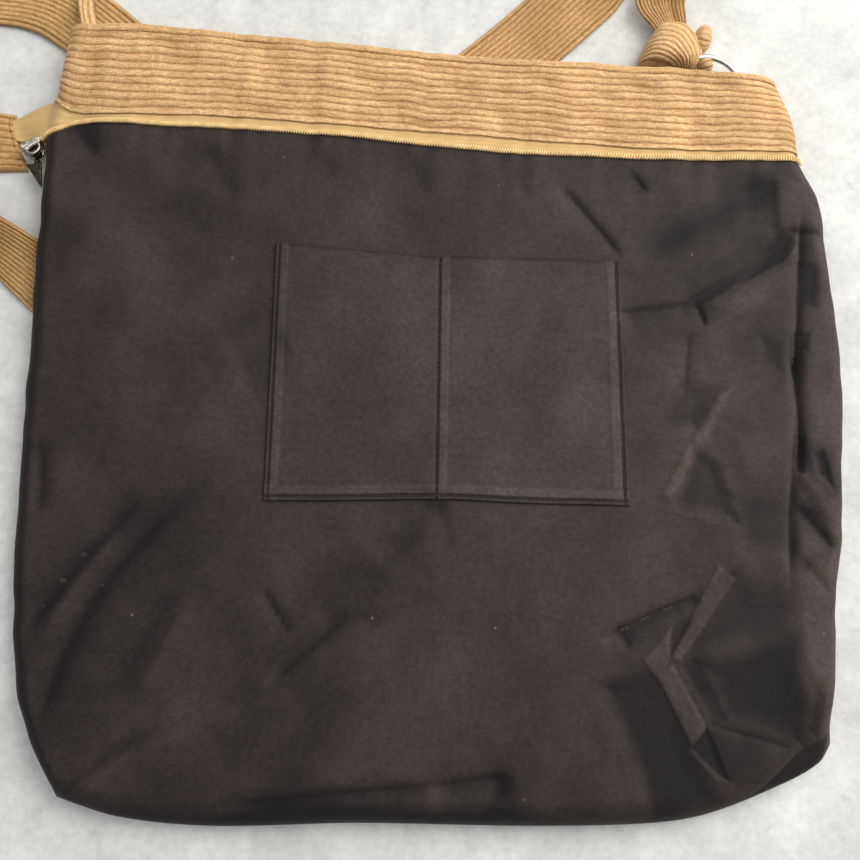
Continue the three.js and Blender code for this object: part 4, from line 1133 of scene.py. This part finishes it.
def end_tab(rows, columns):
    """The zip's end tab: a pillow between its edges, with wales along it, pinched at its seam."""
    t = np.broadcast_to(np.linspace(0, 1, rows)[:, None], (rows, columns))
    s = np.broadcast_to(np.linspace(0, 1, columns)[None, :], (rows, columns))
    x, y = tab_plan(s, t)
    phase = t * TAB_WALES + 0.12 * ripple(x, y, 24, 71)
    height = wale(phase)
    pillow = rounded(t * TAB_HEIGHT, 2.4) * rounded((1 - t) * TAB_HEIGHT, 2.4)
    pillow = pillow * rounded(s * TAB_WIDTH, 2.0) * rounded((1 - s) * TAB_WIDTH, 2.0)
    seam = bell((1 - s) * TAB_WIDTH - TAB_SEAM, 0.7)
    top = TAB_BASE + 0.5 + (TAB_TOP - TAB_BASE - TAB_SINK + WALE_DEPTH * height - 0.8 * seam) * pillow
    outer = np.stack([x, y, top], -1)
    inner = np.stack([x, y, 0 * x + TAB_BASE], -1)[::COARSE, ::COARSE]
    uv = both_faces(np.stack([x * UV_ALONG, phase * UV_ACROSS], -1))
    return cloth_wall(outer, inner), uv, height


add_corduroy("zip_end_tab_cloth", end_tab(97, 49), ["zip_end_tab"], SHADED_CORDUROY)


def turned(points, angle, x, y, z):
    """Points turned about the upright axis and moved."""
    c, s = np.cos(angle), np.sin(angle)
    return points @ np.array([[c, s, 0], [-s, c, 0], [0, 0, 1]]) + np.array([x, y, z])


def slider_body():
    """The slider: a shell along x whose squarish section has a slot along its top and its foot for the tape,
    wide shoulders at one end, and a bail of two arms with an upright pin."""
    half = SLIDER["height"] / 2
    x = np.linspace(-1, 1, 25)
    shoulders = 0.80 + 0.20 * smooth(-0.2, 0.5, x) - 0.05 * np.cos(6 * x)
    close = rounded((1 - np.abs(x)) * SLIDER["length"] / 2, 1.1)
    across, up = squared(even_turn(72), 0.55)
    y, z = across * SLIDER["depth"] / 2, up * half
    slot = 1 - 0.5 * np.exp(-((y / 0.62) ** 4))
    grid_y = y[None] * (shoulders * mix(0.62, 1, close))[:, None]
    grid_z = z[None] * (slot[None] * mix(0.7, 1, close)[:, None])
    grid_x = np.broadcast_to((x * SLIDER["length"] / 2)[:, None], grid_y.shape)
    parts = [rod(np.stack([grid_x, grid_y, grid_z + half], -1))]
    bow = np.linspace(0, np.pi, 25)
    arm_x, arm_y = BAIL["half"] * np.cos(bow), BAIL["root"] + BAIL["reach"] * np.sin(bow) ** 0.8
    for height in (BAIL["inset"], SLIDER["height"] - BAIL["inset"]):
        path = np.stack([arm_x, arm_y, 0 * bow + height], -1)
        up = np.broadcast_to([0.0, 0, 1], path.shape)
        parts.append(wire(path, np.cross(along(path), up), up, BAIL["wire"], 10))
    pin_z = np.linspace(PIN_END, SLIDER["height"] - PIN_END, 9)
    pin = np.stack([0 * pin_z, 0 * pin_z + PIN_REACH, pin_z], -1)
    level_x, level_y = (np.broadcast_to(way, pin.shape) for way in ([1.0, 0, 0], [0, 1.0, 0]))
    parts.append(wire(pin, level_x, level_y, PIN_WIRE, 14))
    points, quads, triangles = joined(parts)
    return turned(points, SLIDER_TURN, SLIDER["x"], SLIDER["y"], SLIDER["base"]), quads, triangles


def puller_plate():
    """The pull: a plate that turns flat below its neck, broad there on the side away from the bag and
    narrowing to a blunt point, with a rounded edge all round, and an eye round the pin."""
    pin = turned(np.array([0.0, PIN_REACH, 0.0]), SLIDER_TURN, SLIDER["x"], SLIDER["y"], 0.0)
    base = SLIDER["base"] + (SLIDER["height"] - EYE["height"]) / 2
    x = np.linspace(0, 1, 61)
    turn = even_turn(32)
    end = rounded((1 - x) * PULLER["length"], 2.0)
    away = mix(PULLER["neck"], mix(PULLER["broad"], PULLER["tip"], x), smooth(0.225, 0.26, x))
    towards = mix(PULLER["neck"], PULLER["inside"], smooth(0.05, 0.2, x))
    middle, half = (away - towards) / 2, (away + towards) / 2 * end
    half_thick = PULLER_HALF_THICK * mix(0.6, 1, rounded((1 - x) * PULLER_TAPER, 1.0))
    broad, thin = squared(turn, 0.5)
    section_w = middle[:, None] + broad * half[:, None]
    section_t = thin[None] * half_thick[:, None]
    lean = PULLER_LEAN * smooth(0.0, 0.2, x)[:, None]
    run = PULLER["start"] + x * (PULLER["length"] - PULLER["start"])
    grid_x = np.broadcast_to(run[:, None], section_w.shape)
    grid_y = section_t * np.cos(lean) - section_w * np.sin(lean)
    grid_z = section_w * np.cos(lean) + section_t * np.sin(lean) + EYE["height"] / 2
    plate = rod(np.stack([grid_x, grid_y, grid_z], -1))
    out, up = squared(turn, 0.6)
    eye_r, eye_z = EYE["radius"] + out * EYE["wall"], EYE["height"] / 2 + up * EYE["rise"]
    round_pin = even_turn(36)[:, None]
    eye = np.broadcast_arrays(np.cos(round_pin) * eye_r, np.sin(round_pin) * eye_r, eye_z)
    points, quads, triangles = joined([plate, hoop(np.stack(eye, -1))])
    return turned(points, PULLER_TURN, pin[0], pin[1], base), quads, triangles


add_piece("zip_slider_metal", slider_body(), NICKEL, "slider_metal", ["zip_slider"])
add_piece("zip_puller_metal", puller_plate(), DARK_METAL, "puller_metal", ["zip_puller"], body="puller")


# Pocket
def place_on_bag(x, y):
    """The (u, v) of places in plan: a guess that is moved again and again by how far it is off."""
    u, v = np.full(x.shape, 0.5), np.full(x.shape, 0.5)
    for _ in range(14):
        at_x, at_y, width = plan(u, v)
        u = np.clip(u + (x - at_x) / width, 0, 1)
        v = np.clip(v - (y - at_y) / BODY_LENGTH * (1 - V_COIL), 0, 1)
    return u, v


def pocket_plan(s, t):
    """A place in the pocket's outline: s from left to right, t from its open top to its bottom."""
    return between_edges(POCKET_EDGES, "top", "bottom", s, t)


def pocket_height(s, t):
    """How high the pocket's face stands over the lining, and its painted light and shade: low and painted
    dark on its sewn seams, raised and with a painted sheen over the turned edge inside them, and a little
    full in each half, with a slack open top and a painted shadow along its outer edges."""
    left, right, bottom = s * POCKET_WIDTH, (1 - s) * POCKET_WIDTH, (1 - t) * POCKET_HEIGHT
    top, middle = t * POCKET_HEIGHT, (s - 0.5) * POCKET_WIDTH
    sewn = [edge - POCKET_SEAM for edge in (left, right, bottom)]
    seam = np.max([bell(distance, 0.75) for distance in (*sewn, middle)], axis=0)
    inside = (*sewn, np.where(middle > 0, middle, FAR))
    strip = np.max([smooth(0.6, 1.2, d) * (1 - smooth(4.2, 5.2, d)) for d in inside], axis=0)
    full = smooth(2, 30, left) * smooth(2, 30, right) * smooth(2, 26, bottom) * smooth(0, 26, np.abs(middle))
    slack = full * np.exp(-top / 16)
    edge = rounded(left, 1.0) * rounded(right, 1.0) * rounded(bottom, 1.0) * rounded(top, 0.8)
    height = 0.55 + (0.95 - 0.75 * seam + 0.3 * strip + 0.5 * full + 0.6 * slack) * edge
    # Painted shadow along the outer edges and painted shade on the seams, with painted sheen on the strips
    edges = [bell(left, 0.9), 0.5 * bell(right, 0.7), 0.8 * bell(bottom, 0.8), bell(top, 1.5)]
    dark = np.max([*edges, 0.8 * seam], axis=0)
    return height, PLAIN + 0.5 * strip * (1 - seam) - 0.5 * dark


def pocket_face(rows, columns):
    """The pocket panel: its outline laid over the lining at its height, with an even underside, and with
    closer steps at its seams."""
    at = np.linspace(0, 1, 801)
    seams = np.exp(-at / 0.03) + np.exp((at - 1) / 0.03) + np.exp(-np.abs(at - 0.5) / 0.03)
    hems = 0.4 * np.exp(-at / 0.03) + np.exp((at - 1) / 0.04)
    s = np.broadcast_to(graded(columns, 1 + 5 * seams)[None, :], (rows, columns))
    t = np.broadcast_to(graded(rows, 1 + 5 * hems)[:, None], (rows, columns))
    x, y = pocket_plan(s, t)
    u, v = place_on_bag(x, y)
    height, pressed = pocket_height(s, t)
    outer = layer(1, u, v, height + 0.06 * ripple(x, y, 12, 81))
    under = np.full(u.shape, POCKET_UNDERSIDE)[::COARSE, ::COARSE]
    surface = cloth_wall(outer, layer(1, u[::COARSE, ::COARSE], v[::COARSE, ::COARSE], under))
    # Painted light and shade: slopes facing the light are painted lighter, those facing away darker
    nap = np.clip(PLAIN + SLOPE_SHADE_GAIN * outward(1, u, v) @ PAINTED_LIGHT_WAY, 0, 1)
    return surface, filled(pressed, surface, PLAIN), filled(nap, surface, PLAIN)


surface, pressed, nap = pocket_face(157, 213)
pocket = add_piece(
    "pocket_panel", surface, POCKET_CLOTH, "pocket_cloth", ["pocket"], pressed=pressed, nap=nap)


# Strap, knot, ring and loops
def strap_strip(path, across, width, thickness, wales, seed, pinch=0.0, nap=1.0):
    """A strap along a path: a thin pillow section, once round over the upper face and back under the lower
    one, with wales along both faces and a groove at each seam, where shade is painted. The pinch at each
    point presses a lengthwise fold into the upper face. The last factor scales the pile value that sets the
    colour, painting shade where it is below one."""
    up = unit(np.cross(along(path), across))
    run = lengths(path)[:, None]
    a = np.linspace(-1, 1, wales * WALE_POINTS + 1)
    stitch = bell(np.abs(a) - STRAP_SEAM, 0.03)
    wander = 0.3 * ripple(run, a[None] * 12, 42, seed)
    # The pile value is lowered along each seam, painting shade in its groove
    height = wale((a + 1) / 2 * wales + wander * (1 - a**4)) * (1 - 0.45 * stitch)
    pillow = np.sqrt(np.clip(1 - np.abs(a) ** 14, 0, 1))
    face = (thickness / 2 - WALE_DEPTH * 0.8 * (1 - height) - 0.25 * stitch) * pillow
    half = np.broadcast_to(width, len(path))[:, None] / 2
    fold = np.broadcast_to(pinch, len(path))[:, None] * bell(a + 0.3, 0.22)
    flat = path[:, None] + across[:, None] * (a * half)[..., None]
    upper = flat + up[:, None] * (face - fold)[..., None]
    lower = flat - up[:, None] * face[..., None]
    sections = np.concatenate([upper, lower[:, -2:0:-1]], axis=1)
    phase = np.broadcast_to((a + 1) / 2 * wales, height.shape)
    uv = np.stack([np.broadcast_to(run * UV_ALONG, height.shape), phase * UV_ACROSS], -1)
    uv = np.concatenate([uv, uv[:, -2:0:-1] + 0.5], axis=1).reshape(-1, 2)
    heights = np.concatenate([height, height[:, -2:0:-1]], axis=1) * np.broadcast_to(nap, len(path))[:, None]
    return rod(sections), uv, heights


def strap_places(count):
    """The strap's centre line and its direction across: level where it lies, and tilted by its bank where it
    stands on its edge."""
    rows = resampled(STRAP_ROWS, count)
    x, y = rows["x"], rows["y"]
    heading = np.arctan2(np.gradient(y), np.gradient(x))
    bank = np.radians(rows["bank"])
    across = np.stack([-np.sin(heading) * np.cos(bank), np.cos(heading) * np.cos(bank), np.sin(bank)], -1)
    rest = STRAP_THICKNESS / 2 * np.cos(bank) + rows["width"] / 2 * np.abs(np.sin(bank))
    return np.stack([x, y, STRAP_FLOOR + rows["lift"] + rest], -1), across, rows["width"]


# The strap is pinched where it leaves the knot, and shade is painted on its pile at the far left
path, across, width = strap_places(STRAP_STEPS)
neck = 2.2 * (1 - smooth(8, 40, lengths(path)))
against_nap = 1 - 0.5 * smooth(-90, -20, 110 - path[:, 1]) * smooth(200, 230, -path[:, 0])
strap_surface = strap_strip(path, across, width, STRAP_THICKNESS, STRAP_WALES, 91, neck, against_nap)
strap = add_corduroy("strap_ribbon", strap_surface, ["strap"], SHADED_CORDUROY)


def knot_fan():
    """The knot's upper turn: the strap fans out over the ring, its wales running from under its left side
    over the top and down at the right. Curves through five stations along five wale lines give its face, and
    its edges round down."""
    across, steps = np.linspace(0, 1, 121), np.linspace(0, 4, 97)
    stations = []
    for station in "12345":
        places = [curve(KNOT_LINES, "across", axis + station, across) for axis in "xyz"]
        stations.append(np.stack(places, -1))
    points = through(np.stack(stations), steps).transpose(1, 0, 2)
    a, b = np.broadcast_arrays(across[:, None], steps[None, :])
    edges = rounded(a * KNOT_ACROSS, 3) * rounded((1 - a) * KNOT_ACROSS, 3)
    edges = edges * rounded(b * KNOT_STEP, 3) * rounded((4 - b) * KNOT_STEP, 3)
    points[..., 2] = mix(KNOT_BASE, points[..., 2], edges)
    phase = a * KNOT_WALES + 0.12 * ripple(b * 9, a * 30, 22, 95)
    height = wale(phase)
    normal = unit(np.cross(np.gradient(points, axis=1), np.gradient(points, axis=0)))
    normal = normal * np.sign(normal[..., 2:].mean())
    outer = points + normal * (WALE_DEPTH * (height - 0.8))[..., None]
    inner = points[::COARSE, ::COARSE] * np.array([1, 1, 0]) + np.array([0, 0, KNOT_BASE - 1])
    uv = both_faces(np.stack([b * KNOT_RUN * UV_ALONG, phase * UV_ACROSS], -1))
    return cloth_wall(outer, inner), uv, height


def knot_lump(x, y, z, rx, ry, rz, wales, turn_by):
    """A rounded end of the strap: an egg with wales that run over it from end to end."""
    count, around = 33, 72
    t = np.linspace(0.02, 0.98, count) * np.pi
    turn = even_turn(around)
    phase = np.broadcast_to(turn / (2 * np.pi) * wales, (count, around))
    height = wale(phase)
    swell = 1 + 0.09 * (height - 0.7)
    ring_x = np.cos(t)[:, None] * rx * np.ones(around)
    ring_y = np.sin(t)[:, None] * ry * np.cos(turn) * swell
    ring_z = np.sin(t)[:, None] * rz * np.sin(turn) * swell
    points = turned(np.stack([ring_x, ring_y, ring_z], -1), turn_by, x, y, z)
    run = np.broadcast_to(t[:, None] * LUMP_RUN, phase.shape)
    uv = np.stack([run * UV_ALONG, phase * UV_ACROSS], -1).reshape(-1, 2)
    return rod(points), uv, height


def joined_cloth(parts):
    """Several corduroy surfaces with their coordinates and pile heights as one."""
    surfaces, uvs, heights = zip(*[with_rest(*part) for part in parts])
    return joined(surfaces), np.concatenate(uvs), np.concatenate(heights)


knot_parts = [knot_fan()]
knot_parts += [knot_lump(*row[:-1], np.radians(row[-1])) for row in zip(*KNOT_LUMPS.values())]
add_corduroy("strap_knot_cloth", joined_cloth(knot_parts), ["strap_knot"])


def ring_wire():
    """The steel ring: a round wire carried once round its circle."""
    turn, around = even_turn(120), even_turn(20)
    out = np.stack([np.cos(turn), np.sin(turn), 0 * turn], -1)
    centre = out * RING["radius"] + np.array([RING["x"], RING["y"], RING["z"]])
    section = out[:, None] * np.cos(around)[:, None] + np.array([0, 0, 1.0]) * np.sin(around)[:, None]
    return hoop(centre[:, None] + RING["wire"] * section)


add_piece("ring_wire", ring_wire(), STEEL, "ring_steel", ["ring"])


def ring_loop_strip():
    """The loop that holds the ring: a narrow strap round the wire whose two ends lie together towards the
    bag."""
    bend = np.radians(np.linspace(100, 260, 25))
    reach = RING["wire"] + GAP + LOOP_THICKNESS / 2
    upper_x = np.linspace(RING_LOOP["reach"], 1.2, 16)
    lift = mix(1.0, reach, 1 - smooth(2, 10, upper_x))
    x = np.concatenate([upper_x, -0.6 + (reach + 0.9) * np.cos(bend), upper_x[::-1]])
    z = np.concatenate([lift, reach * np.sin(bend), -lift[::-1]])
    path = np.stack([RING_LOOP["x"] + x, 0 * x + RING_LOOP["y"], RING["z"] + z], -1)
    across = np.broadcast_to([0.0, 1.0, 0.0], path.shape)
    return strap_strip(path, across, RING_LOOP["width"], LOOP_THICKNESS, LOOP_WALES, 97)


add_corduroy("ring_loop_cloth", ring_loop_strip(), ["ring_loop"])


def mouth_loop_strip():
    """The narrow loop at the left of the mouth: a strap that runs out, bends back on itself and returns."""
    x, y, z = resampled(MOUTH_LOOP_ROWS, 41).values()
    bend = np.radians(np.linspace(75, -75, 11))
    bend_y, bend_z = MOUTH_LOOP_BEND * np.cos(bend), MOUTH_LOOP_BEND * np.sin(bend)
    path = np.concatenate([
        np.stack([x, y, z + MOUTH_LOOP_BEND], -1),
        np.stack([0 * bend + x[-1], y[-1] + bend_y, z[-1] + bend_z], -1),
        np.stack([x, y, z - MOUTH_LOOP_BEND], -1)[::-1],
    ])
    across = np.broadcast_to([1.0, 0.0, 0.0], path.shape)
    return strap_strip(path, across, MOUTH_LOOP_WIDTH, LOOP_THICKNESS, LOOP_WALES, 99)


add_corduroy("mouth_loop_cloth", mouth_loop_strip(), ["mouth_loop"])


# Stitching
def facing_topstitch(side):
    """Stitches along the groove below the band's top wale."""
    u = np.linspace(0.006, 0.994, 500)
    v = 0 * u + BAND_SEAM / BAND_HEIGHT * V_FACING
    path = layer(side, u, v, 0 * u + BAND_THREAD)
    return stitches(path, outward(side, u, v), pitch=3.0, fill=0.78, radius=0.24)


def pocket_stitch_rows():
    """Dark stitches down both sides, along the bottom and down the middle of the pocket."""
    inset_s, inset_t = POCKET_SEAM / POCKET_WIDTH, POCKET_SEAM / POCKET_HEIGHT
    t = np.linspace(0.02, 1 - inset_t, 160)
    s = np.linspace(inset_s, 1 - inset_s, 200)
    rows = [(0 * t + inset_s, t), (0 * t + 1 - inset_s, t), (s, 0 * s + 1 - inset_t), (0 * t + 0.5, t)]
    made = []
    for s, t in rows:
        u, v = place_on_bag(*pocket_plan(s, t))
        height, _ = pocket_height(s, t)
        path = layer(1, u, v, height + POCKET_THREAD)
        made.append(stitches(path, outward(1, u, v), pitch=2.6, fill=0.8, radius=0.26))
    return joined(made)


def tab_stitch_row():
    """Dark stitches down the tab's seam."""
    t = np.linspace(0.05, 0.95, 60)
    x, y = tab_plan(1 - TAB_SEAM / TAB_WIDTH, t)
    path = np.stack([x, y, 0 * x + TAB_TOP - TAB_SINK], -1)
    return stitches(path, np.broadcast_to([0.0, 0, 1], path.shape), pitch=2.6, fill=0.8, radius=0.3)


add_piece("facing_topstitch", joined([facing_topstitch(1), facing_topstitch(-1)]), TAN_THREAD, "corduroy")
add_piece("pocket_stitches", pocket_stitch_rows(), DARK_THREAD, "pocket_cloth")
add_piece("tab_stitches", tab_stitch_row(), DARK_THREAD, "corduroy")


# Floor, light and camera
def floor_finish():
    """Pale smooth concrete: cloudy greys with fine pores."""
    made, tree, shader = finish_tree("pale_floor", Roughness=0.8, Specular_IOR_Level=0.25)
    place = object_place(tree)
    clouds = noise(tree, place, 22.0, 7.0, 0.62)
    pores = noise(tree, place, 260.0, 3.0, 0.6)
    spots = noise(tree, place, 90.0, 5.0, 0.7)
    colour = ramp(tree, clouds, (0.32, srgb(190, 189, 184)), (0.66, srgb(212, 211, 205)))
    colour = times(tree, colour, ramp(tree, spots, (0.25, grey(0.86)), (0.5, grey(1.0)), (0.75, grey(1.06))))
    colour = times(tree, colour, ramp(tree, pores, (0.3, grey(0.92)), (0.7, grey(1.05))))
    tree.links.new(colour, shader.inputs["Base Color"])
    bump(tree, shader, pores, 0.12, 0.0004)
    return made


FLOOR_REACH = 3.0
FLOOR_Z = -0.0003
floor_mesh = bpy.data.meshes.new("floor")
floor_corners = np.array([(-1, -1), (1, -1), (1, 1), (-1, 1)]) * FLOOR_REACH
floor_mesh.from_pydata([(x, y, FLOOR_Z) for x, y in floor_corners.tolist()], [], [(0, 1, 2, 3)])
floor_mesh.materials.append(floor_finish())
floor = bpy.data.objects.new("floor", floor_mesh)
bpy.context.scene.collection.objects.link(floor)


def area_light(name, place, target, size, power, colour):
    """A square soft light at a place, in metres, turned to a target."""
    data = bpy.data.lights.new(name, "AREA")
    data.shape = "SQUARE"
    data.size = size
    data.energy = power
    data.color = colour
    lamp = bpy.data.objects.new(name, data)
    back = unit(np.array(place) - np.array(target))
    side_way = unit(np.cross([0, 1.0, 0.01], back))
    turn = np.eye(4)
    turn[:3, 0], turn[:3, 1], turn[:3, 2], turn[:3, 3] = side_way, np.cross(back, side_way), back, place
    lamp.matrix_world = Matrix(turn.tolist())
    bpy.context.scene.collection.objects.link(lamp)


area_light(
    "window", place=(1.05, 0.75, 1.05), target=(0.05, 0.0, 0.0), size=1.5, power=34.0,
    colour=(1.0, 0.985, 0.96))
area_light(
    "skylight", place=(0.3, 0.3, 1.8), target=(0.0, 0.0, 0.0), size=1.8, power=14.0,
    colour=(0.96, 0.98, 1.0))
world = bpy.data.worlds.new("studio")
world.use_nodes = True
background = world.node_tree.nodes["Background"]
background.inputs["Color"].default_value = (0.93, 0.96, 1.0, 1.0)
background.inputs["Strength"].default_value = 0.52
bpy.context.scene.world = world
bpy.context.scene.view_settings.view_transform = "Standard"
bpy.context.scene.view_settings.look = "None"

TILT = np.radians(12)
ROLL = np.radians(2.67)
CAMERA_DISTANCE = 0.466
CAMERA_TARGET = np.array([0, 0, 0.008])
forward = np.array([0, np.sin(TILT), -np.cos(TILT)])
level_up = np.array([0, np.cos(TILT), np.sin(TILT)])
right = np.cos(ROLL) * np.array([1.0, 0, 0]) + np.sin(ROLL) * level_up
upward = -np.sin(ROLL) * np.array([1.0, 0, 0]) + np.cos(ROLL) * level_up
pose = np.eye(4)
pose[:3, 0], pose[:3, 1], pose[:3, 2] = right, upward, -forward
pose[:3, 3] = CAMERA_TARGET - CAMERA_DISTANCE * forward
camera_data = bpy.data.cameras.new("camera")
camera_data.lens = 40.0
camera_data.sensor_width = 36.0
camera_data.clip_start = 0.01
camera = bpy.data.objects.new("camera", camera_data)
camera.matrix_world = Matrix(pose.tolist())
bpy.context.scene.collection.objects.link(camera)
bpy.context.scene.camera = camera
